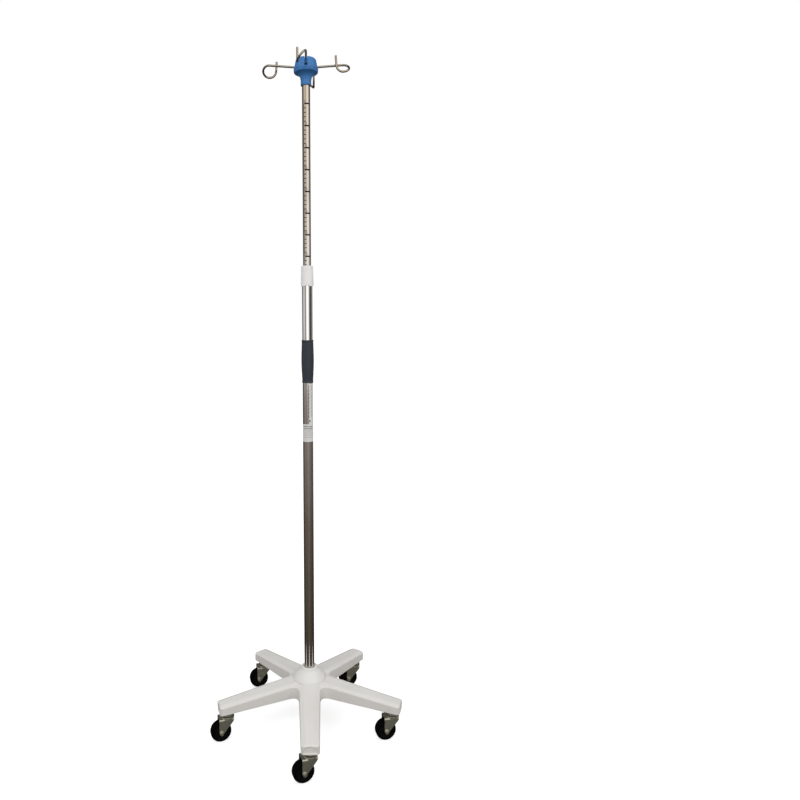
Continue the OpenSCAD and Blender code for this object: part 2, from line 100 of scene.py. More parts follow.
BODY_CORE_R, BODY_CORE_H, NECK_H, FLARE_H = 18.5, 13, 20, 14
HOOK_ROD, BEND_R, LIFT_R, BEND_DROP, TIP_RISE, HOOK_RISE = 72.3, 14.2, 15.3, 21, 16, 4

# ---------- Distance fields ----------


def smin(a, b, k):
    """The union of two fields, with a fillet whose size follows k."""
    h = np.clip(0.5 + 0.5 * (b - a) / k, 0, 1)
    return b + (a - b) * h - k * h * (1 - h)


def smax(a, b, k):
    """The common part of two fields, with its edge rounded."""
    return -smin(-a, -b, k)


def polygon_distance(points, x, y):
    """Signed distance to a closed polygon, negative inside."""
    nearest = np.full(np.broadcast(x, y).shape, 1e9)
    inside = np.zeros(nearest.shape, bool)
    for (ax, ay), (bx, by) in zip(points, points[1:] + points[:1]):
        ex, ey = bx - ax, by - ay
        t = np.clip(((x - ax) * ex + (y - ay) * ey) / (ex * ex + ey * ey), 0, 1)
        nearest = np.minimum(nearest, np.hypot(x - ax - t * ex, y - ay - t * ey))
        if ay != by:
            crosses = (ay > y) != (by > y)
            inside ^= crosses & (x < ex * (y - ay) / ey + ax)
    return np.where(inside, -nearest, nearest)


def table_field(points, margin=4, step=0.1):
    """The distance to a polygon, read from a fine table, for profiles with many sides."""
    low = np.min(points, 0) - margin
    high = np.max(points, 0) + margin
    size = np.ceil((high - low) / step).astype(int) + 1
    us = low[0] + step * np.arange(size[0])
    vs = low[1] + step * np.arange(size[1])
    table = polygon_distance(points, us[:, None], vs[None, :])

    def field(u, v):
        fu = np.clip((u - low[0]) / step, 0, size[0] - 1.001)
        fv = np.clip((v - low[1]) / step, 0, size[1] - 1.001)
        iu, iv = fu.astype(int), fv.astype(int)
        du, dv = fu - iu, fv - iv
        near = table[iu, iv] * (1 - dv) + table[iu, iv + 1] * dv
        away = table[iu + 1, iv] * (1 - dv) + table[iu + 1, iv + 1] * dv
        return near * (1 - du) + away * du

    return field


def slope_of(shape, points, step):
    """The gradient of a field at each point."""
    slope = np.empty_like(points)
    for axis in range(3):
        shift = np.zeros(3)
        shift[axis] = step
        slope[:, axis] = (shape(*(points + shift).T) - shape(*(points - shift).T)) / (2 * step)
    return slope


def surface_of(shape, low, high, cell):
    """Points, normals and quads of the surface of a field, in millimetres."""
    low = np.array(low, float)
    axes = [a + cell * np.arange(int((b - a) / cell) + 2) for a, b in zip(low, high)]
    x, y, z = axes
    field = np.empty((len(x), len(y), len(z)), np.float32)
    slab = 8
    for i in range(0, len(x), slab):
        field[i:i + slab] = shape(x[i:i + slab, None, None], y[None, :, None], z[None, None, :])
    neg = field < 0
    nx, ny, nz = field.shape
    corners = [(i, j, k) for i in (0, 1) for j in (0, 1) for k in (0, 1)]
    count = np.zeros((nx - 1, ny - 1, nz - 1), np.uint8)
    for i, j, k in corners:
        count += neg[i:nx - 1 + i, j:ny - 1 + j, k:nz - 1 + k]
    active = (count > 0) & (count < 8)
    cells = np.argwhere(active)
    index = np.full(active.shape, -1, np.int32)
    index[active] = np.arange(len(cells))
    values = [field[cells[:, 0] + i, cells[:, 1] + j, cells[:, 2] + k] for i, j, k in corners]
    total = np.zeros((len(cells), 3))
    hits = np.zeros(len(cells))
    for a in range(8):
        for b in range(a + 1, 8):
            step = np.subtract(corners[b], corners[a])
            if np.abs(step).sum() != 1:
                continue
            cross = (values[a] < 0) != (values[b] < 0)
            t = np.where(cross, values[a] / np.where(cross, values[a] - values[b], 1), 0)
            total += (np.array(corners[a]) + t[:, None] * step) * cross[:, None]
            hits += cross
    points = low + (cells + total / hits[:, None]) * cell
    quads = []
    for axis in range(3):
        order = (axis, (axis + 1) % 3, (axis + 2) % 3)
        side = np.transpose(neg, order)
        ids = np.transpose(index, order)
        i, j, k = np.nonzero(side[:-1, 1:-1, 1:-1] != side[1:, 1:-1, 1:-1])
        j, k = j + 1, k + 1
        ring = np.stack([ids[i, j - 1, k - 1], ids[i, j, k - 1], ids[i, j, k], ids[i, j - 1, k]], 1)
        flip = ~side[i, j, k]
        ring[flip] = ring[flip][:, ::-1]
        quads.append(ring)
    for _ in range(2):
        slope = slope_of(shape, points, 0.25 * cell)
        steep = np.maximum((slope ** 2).sum(1), 0.25)
        pull = np.clip(shape(*points.T) / steep, -0.5 * cell, 0.5 * cell)
        points -= slope * pull[:, None]
    normals = slope_of(shape, points, 0.35 * cell)
    normals /= np.maximum(np.linalg.norm(normals, axis=1), 1e-6)[:, None]
    return points, normals, np.concatenate(quads)


# ---------- Meshes ----------


def joined(*parts):
    """Several (points, normals, faces) as one. Triangles are given as quads with a repeated corner."""
    points, normals, faces, base = [], [], [], 0
    for p, n, f in parts:
        points.append(p)
        normals.append(n)
        faces.append(np.asarray(f) + base)
        base += len(p)
    return np.concatenate(points), np.concatenate(normals), np.concatenate(faces)


def moved(part, matrix):
    """A part turned and shifted by a matrix in millimetres."""
    points, normals, faces = part
    turn = np.array(matrix.to_3x3())
    return points @ turn.T + np.array(matrix.translation), normals @ turn.T, faces


def eased(points, steps=3, closed=True):
    """Rounds each corner (u, v, size) of a profile that has the solid on its left.

    Gives rows of (u, v, normal u, normal v).
    """
    rows = []
    count = len(points)
    for i, (u, v, r) in enumerate(points):
        p = np.array((u, v), float)
        before = np.array(points[i - 1][:2], float)
        after = np.array(points[(i + 1) % count][:2], float)
        if not closed and i in (0, count - 1):
            d = after - p if i == 0 else p - before
            d /= np.linalg.norm(d)
            rows.append((*p, d[1], -d[0]))
            continue
        a, b = p - before, after - p
        la, lb = np.linalg.norm(a), np.linalg.norm(b)
        a, b = a / la, b / lb
        cut = min(r, 0.45 * la, 0.45 * lb)
        turn = math.acos(max(-1, min(1, float(a @ b))))
        if turn < 0.02:
            n = (a + b) / np.linalg.norm(a + b)
            rows.append((*p, n[1], -n[0]))
            continue
        for s in range(steps + 1):
            t = s / steps
            q = (p - a * cut) * (1 - t) ** 2 + 2 * p * t * (1 - t) + (p + b * cut) * t ** 2
            d = a * (1 - t) + b * t
            d /= np.linalg.norm(d)
            rows.append((*q, d[1], -d[0]))
    return rows


def lathe(rows, sides=96, closed=True):
    """Turns (radius, height, normal) rows about Z. The profile runs with the solid on its left."""
    rows = np.array(rows, float)
    angles = 2 * math.pi * np.arange(sides) / sides
    cos, sin = np.cos(angles), np.sin(angles)
    radius = np.maximum(rows[:, 0], 0)
    points = np.stack([np.outer(radius, cos), np.outer(radius, sin),
                       np.repeat(rows[:, 1:2], sides, 1)], 2).reshape(-1, 3)
    normals = np.stack([np.outer(rows[:, 2], cos), np.outer(rows[:, 2], sin),
                        np.repeat(rows[:, 3:4], sides, 1)], 2).reshape(-1, 3)
    rings = len(rows)
    spans = range(rings if closed else rings - 1)
    side = np.arange(sides)
    faces = []
    for i in spans:
        a, b = i * sides, (i + 1) % rings * sides
        after = (side + 1) % sides
        faces.append(np.stack([a + side, a + after, b + after, b + side], 1))
    return points, normals, np.concatenate(faces)


def mesh_from(name, part):
    """A mesh from (points, normals, quads) in millimetres, with points at one place merged."""
    points, normals, faces = part
    keys = np.round(points, 4)
    keys, first, back = np.unique(keys, axis=0, return_index=True, return_inverse=True)
    back = back.reshape(-1)
    faces = back[faces]
    faces = faces[(faces[:, 0] != faces[:, 2]) & (faces[:, 1] != faces[:, 3])]
    merged = np.zeros((len(keys), 3))
    np.add.at(merged, back, normals)
    size = np.linalg.norm(merged, axis=1)
    merged = np.where(size[:, None] > 1e-3, merged / np.maximum(size, 1e-3)[:, None], normals[first])
    repeats = np.stack([faces[:, i] == faces[:, (i + 1) % 4] for i in range(4)], 1)
    quads = faces[~repeats.any(1)]
    triangles = [
        [v for i, v in enumerate(row) if not flags[i]]
        for row, flags in zip(faces[repeats.any(1)].tolist(), repeats[repeats.any(1)].tolist())
    ]
    triangles = [t for t in triangles if len(t) == 3]
    mesh = bpy.data.meshes.new(name)
    mesh.vertices.add(len(keys))
    mesh.vertices.foreach_set("co", (points[first] * MM).astype(np.float32).ravel())
    loops = np.concatenate([quads.ravel(), np.array(triangles, int).ravel()]).astype(np.int32)
    starts = np.concatenate([4 * np.arange(len(quads)),
                             4 * len(quads) + 3 * np.arange(len(triangles))]).astype(np.int32)
    mesh.loops.add(len(loops))
    mesh.loops.foreach_set("vertex_index", loops)
    mesh.polygons.add(len(starts))
    mesh.polygons.foreach_set("loop_start", starts)
    mesh.update(calc_edges=True)
    mesh.shade_smooth()
    mesh.normals_split_custom_set_from_vertices(merged.tolist())
    return mesh


def swept(path, radius, sides):
    """A round wire along a list of points, with its end corners rounded."""
    path = np.array(path, float)
    tangent = np.gradient(path, axis=0)
    tangent /= np.linalg.norm(tangent, axis=1)[:, None]
    normal = np.cross(tangent[0], (0, 0.3, 1))
    angles = 2 * math.pi * np.arange(sides) / sides
    points, normals = [], []

    def ring(p, t, n, r, lean):
        out = np.outer(np.cos(angles), n) + np.outer(np.sin(angles), np.cross(t, n))
        points.append(p + r * out)
        normals.append(out * math.cos(lean) + t * math.sin(lean))

    crown = 0.3 * radius
    end = [(0, 0, math.pi / 2), (0, radius - crown, math.pi / 2)]
    for a in (1.15, 0.75, 0.3):
        end.append((crown * (1 - math.sin(a)), radius - crown * (1 - math.cos(a)), a))
    for i, (p, t) in enumerate(zip(path, tangent)):
        normal = normal - t * (normal @ t)
        normal /= np.linalg.norm(normal)
        if i == 0:
            for advance, r, lean in end:
                ring(p + t * advance, t, normal, r, -lean)
        elif i == len(path) - 1:
            for advance, r, lean in end[::-1]:
                ring(p - t * advance, t, normal, r, lean)
        else:
            ring(p, t, normal, radius, 0)
    side = np.arange(sides)
    after = (side + 1) % sides
    faces = [np.stack([i * sides + side, i * sides + after,
                       (i + 1) * sides + after, (i + 1) * sides + side], 1)
             for i in range(len(points) - 1)]
    return np.concatenate(points), np.concatenate(normals), np.concatenate(faces)


# ---------- The pieces' shapes, in millimetres ----------


def along(x, root, tip):
    """A size that changes evenly along a leg, from its root to its tip."""
    return root + (tip - root) * (x - HUB_R) / (LEG_REACH - HUB_R)


def leg_top(x, y):
    """Field of a leg's crown and its two planed shoulders, seen along the leg."""
    lean = math.cos(math.atan((LEG_ROOT_TOP - LEG_TIP_TOP) / (LEG_REACH - HUB_R)))
    crown = along(x, LEG_ROOT_TOP, LEG_TIP_TOP)
    half = along(x, LEG_ROOT_HALF, LEG_TIP_HALF)
    run, drop = LEG_SHOULDER, LEG_SHOULDER_DROP

    def field(z):
        shoulder = ((z - crown + drop) * run + (y - half) * drop) / math.hypot(run, drop)
        return smax((z - crown) * lean, shoulder, 0.5)

    return field


def base_star_field(x, y, z):
    """The five-leg base: legs with planed shoulders and a recess in each end, hollow below."""
    r = np.hypot(x, y)
    turn = math.radians(LEG_TURN)
    angle = np.mod(np.arctan2(y, x) + math.pi / 2, turn)
    angle = np.minimum(angle, turn - angle)
    ax, ay = r * np.cos(angle), r * np.sin(angle)
    bx, by = r * np.cos(turn - angle), r * np.sin(turn - angle)
    draft = LEG_DRAFT * (LEG_ROOT_TOP - z)
    side_a = ay - along(ax, LEG_ROOT_HALF, LEG_TIP_HALF) - draft + LEG_SIDE_IN
    side_b = by - along(bx, LEG_ROOT_HALF, LEG_TIP_HALF) - draft + LEG_SIDE_IN
    end_corner = (ax + ay - LEG_REACH - LEG_TIP_HALF + LEG_CORNER_CUT) / math.sqrt(2)
    end_edge = (ax + z - LEG_REACH - LEG_TIP_TOP + LEG_END_CUT) / math.sqrt(2)
    plan = smin(side_a, side_b, LEG_FILLET)
    end = smax(ax - LEG_REACH - 0.3 * draft, end_edge, 0.5)
    plan = smax(plan, smax(end, end_corner, 0.6), 0.6)
    top = smin(leg_top(ax, ay)(z), leg_top(bx, by)(z), 5)
    outer = smax(plan, top, 1.5)
    arch = smax(np.hypot(z - RECESS_LOW, ay) - RECESS_R, RECESS_LOW - z, 1.0)
    outer = smax(outer, -smax(arch, LEG_REACH - RECESS_DEPTH - ax, 1.2), 1.2)
    low = along(ax, LEG_ROOT_LOW, LEG_TIP_LOW)
    lean = math.cos(math.atan((LEG_ROOT_LOW - LEG_TIP_LOW) / (LEG_REACH - HUB_R)))
    hub_low = smax(r - HUB_SKIRT_R, LEG_ROOT_LOW - z, 0.5)
    solid = smax(outer, (low - z) * lean, 1.0)
    solid = smin(solid, smax(smax(hub_low, z - HUB_SKIRT_TOP, 1), plan, 1), 0.6)
    stem = np.hypot(ax - STEM_CIRCLE, ay)
    hollow = smax(outer + LEG_WALL, HOLLOW_START - r, 1.5)
    hollow = smax(hollow, BOSS_R - stem, 1.2)
    hollow = smax(hollow, ax - LEG_REACH + END_WALL, 1)
    rib_foot = z - low - RIB_STEP_UP
    for rib in RIBS:
        hollow = smax(hollow, smin(RIB_HALF - np.abs(ax - rib), rib_foot, 0.6), 0.8)
    hollow = smax(hollow, smin(RIB_HALF - ay, rib_foot, 0.6), 0.8)
    solid = smax(solid, -hollow, 0.8)
    pocket = smax(smax(r - HUB_POCKET_R, HUB_POCKET_IN - r, 1.5), z - HUB_POCKET_TOP, 1.5)
    pocket = smax(pocket, ax * math.sin(HUB_WEB) - ay * math.cos(HUB_WEB), 1.5)
    solid = smax(solid, -pocket, 0.8)
    solid = smax(solid, -np.maximum(r - COVER_R - 0.2, COVER_SEAT - z), 0.4)
    solid = smax(solid, -smax(stem - STEM_HOLE_R, z - STEM_TOP, 0.4), 0.4)
    solid = np.minimum(solid, smax(r - SOCKET_R, np.maximum(z - SOCKET_TOP, LEG_ROOT_LOW - z), 0.5))
    bore = smax(r - SOCKET_BORE_R, SOCKET_FLOOR - z, 0.3)
    return smax(solid, -np.minimum(bore, r - BOLT_HOLE_R), 0.4)


COVER_ROWS = [
    (SOCKET_R + 0.3, COVER_SEAT, 0.1), (COVER_R - 0.4, COVER_SEAT, 0.2),
    (COVER_R + 0.1, COVER_SEAT + 1, 0.5), (COVER_R - 0.8, COVER_SEAT + 4, 1),
    (COVER_R - 3, COVER_SEAT + 8, 3), (COVER_R - 7.5, COVER_SEAT + 13.5, 4),
    (COVER_R - 13, COVER_SEAT + 19, 4), (COVER_R - 18, COVER_SEAT + 23.5, 2.5),
    (20.6, COVER_TOP - 4.6, 1.2), (20, COVER_TOP - 1.8, 1), (18.2, COVER_TOP - 0.4, 1),
    (16, COVER_TOP, 1), (14, COVER_TOP - 0.4, 0.6),
    (LOWER_R + 0.3, COVER_TOP - 1.6, 0.3), (LOWER_R + 0.3, SOCKET_TOP + 0.2, 0.1),
    (SOCKET_R + 0.3, SOCKET_TOP + 0.2, 0.1),
]


def head_profile():
    """The flared lower body of the head, from the neck up to the rim."""
    rows = [(UPPER_R, HEAD_Z, 0.3), (NECK_R - 0.5, HEAD_Z, 0.5), (NECK_R + 0.1, HEAD_Z + 1.6, 0.5),
            (NECK_R - 0.1, HEAD_Z + 3.4, 0.6), (NECK_R - 0.1, RIM_Z - NECK_H - 0.6, 0.4),
            (NECK_R + 0.5, RIM_Z - NECK_H, 0.4)]
    flare_r = RIM_R - 1.5 - NECK_R - 0.4
    for k in range(1, 9):
        a = math.radians(k * 90 / 8)
        out, up = flare_r * (1 - math.cos(a)), FLARE_H * math.sin(a)
        rows.append((NECK_R + 0.5 + out, RIM_Z - NECK_H + up, 1.5))
    rows += [(RIM_R - 0.5, RIM_Z - 4, 0.8), (RIM_R, RIM_Z - 2, 0.6), (RIM_R, RIM_Z - 0.1, 0.35),
             (BODY_CORE_R, RIM_Z - 0.1, 0.1), (BODY_CORE_R, RIM_Z + BODY_CORE_H, 0.4),
             (SCREW_R, RIM_Z + BODY_CORE_H, 0.1), (SCREW_R, RIM_Z - 4, 0.1), (UPPER_R, RIM_Z - 4, 0.1)]
    return [row[:2] for row in eased(rows)]


def cap_profile():
    """The cap on top of the head, closed over its screw."""
    top = RIM_Z + CAP_H
    inner = BODY_CORE_R + 0.2
    rows = [(inner, RIM_Z + 0.1, 0.2), (RIM_R, RIM_Z + 0.1, 0.35), (RIM_R, RIM_Z + 3.2, 0.6),
            (RIM_R - 0.7, RIM_Z + 4.4, 0.6), (RIM_R - 3.6, top - 8, 4), (RIM_R - 4.8, top - 4, 2.5),
            (RIM_R - 6.8, top - 1.5, 2), (RIM_R - 9.8, top - 0.3, 2), (RIM_R - 12, top, 2),
            (SCREW_R + 3.4, top, 0.8), (SCREW_R + 2.9, top - 3, 0.4), (SCREW_R, top - 3, 0.1),
            (SCREW_R, RIM_Z + BODY_CORE_H, 0.1), (inner, RIM_Z + BODY_CORE_H, 0.1)]
    return [row[:2] for row in eased(rows)]


def quarter(x, y):
    """A point turned into the sector of the nearest hook: along it and across it."""
    return np.maximum(np.abs(x), np.abs(y)), np.minimum(np.abs(x), np.abs(y))


def head_body_field():
    """The head's lower body, with a slot and a pin hole for each hook."""
    profile = table_field(head_profile())

    def field(x, y, z):
        r = np.hypot(x, y)
        ax, ay = quarter(x, y)
        slot = smax(smax(ay - SLOT_W / 2, BODY_SLOT_START - ax, 0.4), RIM_Z + BODY_SLOT_FLOOR - z, 0.6)
        body = smax(profile(r, z + 0 * r), -slot, 0.4)
        pin = np.hypot(ax - PIVOT_R, z - PIVOT_Z) - PIN_R
        return np.maximum(body, -np.maximum(pin, ay - PIN_HALF))

    return field


def head_cap_field():
    """The cap, with shallow flutes between its panels and a slot for each hook."""
    profile = table_field(cap_profile())

    def field(x, y, z):
        r = np.hypot(x, y)
        ax, ay = quarter(x, y)
        panel = np.mod(np.arctan2(y, x) / CAP_PANEL + 0.5, 1) * 2 - 1
        fade = np.clip((z - RIM_Z - 4.5) / 4, 0, 1) * np.clip((RIM_Z + CAP_H + 1 - z) / 8, 0, 1)
        flute = CAP_FLUTE * fade * (1 - panel ** 2) * np.clip((r - 12) / 8, 0, 1)
        slot = smax(smax(ay - SLOT_W / 2 - 0.05, CAP_SLOT_START - ax, 0.5), RIM_Z + CAP_SLOT_FLOOR - z, 0.8)
        cap = smax(profile(r, z + 0 * r) + flute, -slot, 0.9)
        pocket = smax(smax(CAP_POCKET_IN - r, r - CAP_POCKET_OUT, 0.6), z - RIM_Z - CAP_POCKET_TOP, 0.8)
        pocket = smax(pocket, ax * math.sin(CAP_RIB) - ay * math.cos(CAP_RIB), 0.8)
        return smax(cap, -pocket, 0.5)

    return field


def collar_field():
    """The lock collar: a slightly conical sleeve with finger grooves and a scalloped lower edge."""
    skirt_top, finger_top = COLLAR_Z + COLLAR_SKIRT_H, COLLAR_TOP - COLLAR_LIP
    taper = (COLLAR_LOW_R - COLLAR_TOP_R) / (COLLAR_TOP - COLLAR_Z)

    def field(x, y, z):
        r = np.hypot(x, y)
        angle = np.arctan2(y, x)
        rise = np.clip((COLLAR_TOP - GROOVE_STOP - z) / 2.5, 0, 1)
        swing = np.mod(angle * COLLAR_GROOVES / (2 * math.pi) + 0.5, 1) - 0.5
        across = swing * 2 * math.pi / COLLAR_GROOVES * COLLAR_LOW_R
        wall = r - COLLAR_LOW_R + taper * (z - COLLAR_Z)
        groove = GROOVE_R - np.hypot(across, wall - GROOVE_OUT)
        outer = smax(wall, groove * rise + (1 - rise) * -2, 0.25)
        sleeve = smax(smax(outer, z - COLLAR_TOP, 1.2), COLLAR_Z - z, 0.5)
        bore_r = np.where(z < finger_top, COLLAR_FINGER_R, COLLAR_MOUTH_R)
        bore_r = np.where(z < skirt_top, COLLAR_SKIRT_R, bore_r)
        sleeve = smax(sleeve, bore_r - r, 0.3)
        ay = quarter(x, y)[1]
        scallop = SCALLOP_R - np.hypot(ay, z - COLLAR_Z + SCALLOP_LOW)
        return smax(sleeve, scallop, 0.6)

    return field


def fork_outline():
    """Outline of the fork's cheeks in trail direction and height."""
    above = FORK_TOP + 6
    rows = [(FORK_BACK, above, 0.1), (FORK_BACK, FORK_TOP - 6, 5)]
    for a in np.radians(np.linspace(218, 360, 7)):
        rows.append((TRAIL + FORK_LOBE * math.cos(a), AXLE_Z + FORK_LOBE * math.sin(a), 0.1))
    rows += [(TRAIL + FORK_LOBE, above, 0.1)]
    return [row[:2] for row in eased(rows)]


def fork_field():
    """A pressed fork: folded cheeks, a top plate with rounded bends, and the ball race on it."""
    outline = table_field(fork_outline(), margin=14)
    mid = (FORK_GAP + FORK_WALL) / 2

    def field(x, y, z):
        ny, nz = np.abs(y) - mid + FORK_BEND, z - FORK_TOP + FORK_WALL / 2 + FORK_BEND
        fold = np.hypot(np.maximum(ny, 0), np.maximum(nz, 0)) + np.minimum(np.maximum(ny, nz), 0)
        sheet = np.abs(fold - FORK_BEND) - FORK_WALL / 2
        side = outline(x + 0 * z, z + 0 * x)
        sheet = smax(sheet, side, 0.7)
        axle = np.hypot(x - TRAIL, z - AXLE_Z)
        boss = smax(axle - NUT_R, np.abs(np.abs(y) - mid - BOSS_OUT) - BOSS_HALF, 0.5)
        sheet = smin(sheet, boss, 0.8)
        r = np.hypot(x, y)
        race = smax(smax(r - RACE_R, z - RACE_LOW, 1.2), FORK_TOP - FORK_WALL - z, 1.2)
        sheet = smin(sheet, race, 1.2)
        channel = np.hypot(r - BALL_CIRCLE_R, z - RACE_LOW - 0.6) - CHANNEL_R
        sheet = smax(sheet, -channel, 0.3)
        sheet = smax(sheet, -(r - KINGPIN_R - 0.06), 0.4)
        return smax(sheet, AXLE_R - axle + 0 * y, 0.3)

    return field


def hex_field(x, y, radius):
    """Distance to a hexagon whose corners lie on the radius."""
    flat = radius * math.cos(math.pi / 6)
    a = np.abs(x)
    b = np.abs(x * 0.5 + y * math.sqrt(3) / 2)
    c = np.abs(x * 0.5 - y * math.sqrt(3) / 2)
    return np.maximum(np.maximum(a, b), c) - flat


def chamfer(r, out, radius):
    """A cone that takes the corners off the outer face of a hexagon."""
    return (r + out * 1.6 - radius) * 0.53


def axle_bolt_field(x, y, z):
    """A hex bolt through the fork, with its nut, drawn along Y at the axle."""
    half = FORK_GAP / 2 + FORK_WALL
    r = np.hypot(x, z)
    thread = THREAD_DEPTH * np.cos(2 * math.pi * y) * (y > half)
    shaft = smax(r - AXLE_R + 0.05 + thread, np.maximum(-half - 1 - y, y - half - 4.5), 0.5)
    hexagon = hex_field(x, z, NUT_R)
    for side in (-1, 1):
        out = side * y
        cone = chamfer(r, out - half - NUT_H, NUT_R - 0.5)
        head = smax(smax(hexagon, np.abs(out - half - NUT_H / 2) - NUT_H / 2, 0.25), cone, 0.35)
        shaft = np.minimum(shaft, head)
    return shaft


def mast_bolt_field(x, y, z):
    """The bolt up into the foot of the mast, with its washer."""
    r = np.hypot(x, y)
    low = LEG_ROOT_LOW - WASHER_H
    shaft = smax(r - MAST_BOLT_R, np.maximum(low - z, z - low - MAST_BOLT_LEN), 0.6)
    hexagon = smax(hex_field(x, y, MAST_HEX_R), np.abs(z - low + MAST_HEX_H / 2) - MAST_HEX_H / 2, 0.3)
    head = smax(hexagon, chamfer(r, low - MAST_HEX_H - z, MAST_HEX_R - 0.8), 0.5)
    washer = smax(r - WASHER_R, np.abs(z - low - WASHER_H / 2) - WASHER_H / 2, 0.4)
    return np.minimum(np.minimum(shaft, head), washer)


STEM_ROWS = [
    (0, FORK_TOP - 6.2, 0), (5.5, FORK_TOP - 6.2, 0.3), (6.5, FORK_TOP - 5.2, 0.6),
    (6.5, FORK_TOP - 2.5, 0.2), (KINGPIN_R, FORK_TOP - 2.5, 0.1), (KINGPIN_R, RACE_TOP - 4, 0.2),
    (12.6, RACE_TOP - 4, 0.4), (14, RACE_TOP - 4, 0.4), (RACE_R, RACE_TOP - 2.8, 0.9),
    (RACE_R, RACE_TOP - 0.9, 0.8), (RACE_R - 2.2, RACE_TOP, 0.9), (8, RACE_TOP, 0.8),
    (8, LEG_TIP_LOW - 0.2, 0.4), (STEM_HOLE_R, LEG_TIP_LOW - 0.2, 0.2),
    (STEM_HOLE_R, STEM_TOP - 1, 0.6), (4.6, STEM_TOP, 0.4), (0, STEM_TOP, 0),
]


def both_sides(rows):
    """A wheel's profile: these rows on one side of it and their mirror image on the other."""
    return rows + [(r, -y, k) for r, y, k in reversed(rows)]


TYRE_ROWS = both_sides([
    (18, -WHEEL_HALF, 0.2), (20.2, -WHEEL_HALF, 0.4), (20.6, -9.6, 0.2), (21.4, -9.9, 0.3),
    (23, -9.1, 1.4), (24.4, -7.4, 1.4), (WHEEL_R, -5, 2.5), (WHEEL_R, -3.6, 0.2),
    (24.6, -3.4, 0.15), (24.6, -2.9, 0.15), (WHEEL_R, -2.7, 0.2),
])

CORE_ROWS = both_sides([
    (AXLE_R + 0.06, -11.6, 0.3), (6.6, -11.6, 0.5), (7, -10.6, 0.6), (7.6, -7, 1.2),
    (11, -6.6, 1), (15.3, -6.8, 1.2), (15.8, -9.9, 0.5), (17.9, -WHEEL_HALF, 0.3),
])

GRIP_ROWS = [
    (LOWER_R + 0.05, 0, 0.2), (13.2, 0, 0.3), (13.75, 1, 0.6), (13.65, 3, 0.8),
    (13.2, 4.8, 1.2), (13.3, 8, 2), (13.6, 13, 3), (14.2, 24, 5), (14.85, 38, 6),
    (GRIP_R, 54, 8), (15, 68, 6), (14.5, 82, 5), (14.05, 95, 2), (13.8, 97.6, 0.8),
    (14.3, 99.4, 0.8), (14.45, 101.2, 0.8), (14.1, 102.7, 0.5), (13.6, GRIP_LEN, 0.3),
    (LOWER_R + 0.05, GRIP_LEN, 0.2),
]

COLLET_ROWS = [
    (LOWER_R, COLLAR_Z + 2, 0.1), (COLLET_SKIRT_R, COLLAR_Z + 2, 0.3),
    (COLLET_SKIRT_R, COLLAR_Z + 20, 0.3), (COLLET_FINGER_R, COLLAR_Z + 20, 0.3),
    (COLLET_FINGER_R, COLLAR_TOP - 5, 0.4), (UPPER_R + 0.05, COLLAR_TOP - 5, 0.3),
    (UPPER_R + 0.05, LOWER_TOP, 0.1), (LOWER_R, LOWER_TOP, 0.1),
]


def tube_rows(outer, wall, low, high):
    """The profile of a tube, open at both ends."""
    inner = outer - wall
    return [(inner, low, 0.3), (outer, low, 0.35), (outer, high, 0.35), (inner, high, 0.3)]


def hook_path():
    """The wire's centre line, drawn along +X from its pivot."""
    tilt = math.acos(BEND_DROP / (2 * BEND_R))
    shift = BEND_DROP * math.tan(tilt)
    path = [(x, 0, 0) for x in np.linspace(-1.2, HOOK_ROD - 1.5, 18)]
    up = np.array((0, math.sin(tilt), math.cos(tilt)))
    middle = np.array((HOOK_ROD, -shift / 2, -BEND_DROP / 2))
    for a in np.linspace(0, math.pi, 33):
        path.append(middle + BEND_R * (math.cos(a) * up + math.sin(a) * np.array((1, 0, 0))))
    centre = np.array((HOOK_ROD, -shift, LIFT_R - BEND_DROP))
    for a in np.linspace(0, math.pi / 2, 17)[1:]:
        path.append(centre + LIFT_R * np.array((-math.sin(a), 0, -math.cos(a))))
    rise = LIFT_R - BEND_DROP
    for z in np.linspace(rise, TIP_RISE, 12)[1:]:
        path.append((HOOK_ROD - LIFT_R, -shift, z))
    return path


# ---------- Materials ----------


def linear(value):
    """An sRGB colour written as a hex string, in linear light."""
    channels = [int(value[i:i + 2], 16) / 255 for i in (0, 2, 4)]
    return tuple(c / 12.92 if c <= 0.04045 else ((c + 0.055) / 1.055) ** 2.4 for c in channels) + (1,)


class Nodes:
    """The node tree of a material or a world, with short ways to add nodes and link them."""

    def __init__(self, owner):
        owner.use_nodes = True
        self.tree = owner.node_tree

    def new(self, kind):
        return self.tree.nodes.new("ShaderNode" + kind)

    def link(self, a, b):
        self.tree.links.new(a, b)

    def maths(self, operation, a, b):
        """Works on two values, each a node's output or a number."""
        node = self.new("Math")
        node.operation = operation
        for socket, value in zip(node.inputs, (a, b)):
            if isinstance(value, (int, float)):
                socket.default_value = value
            else:
                self.link(value, socket)
        return node.outputs[0]


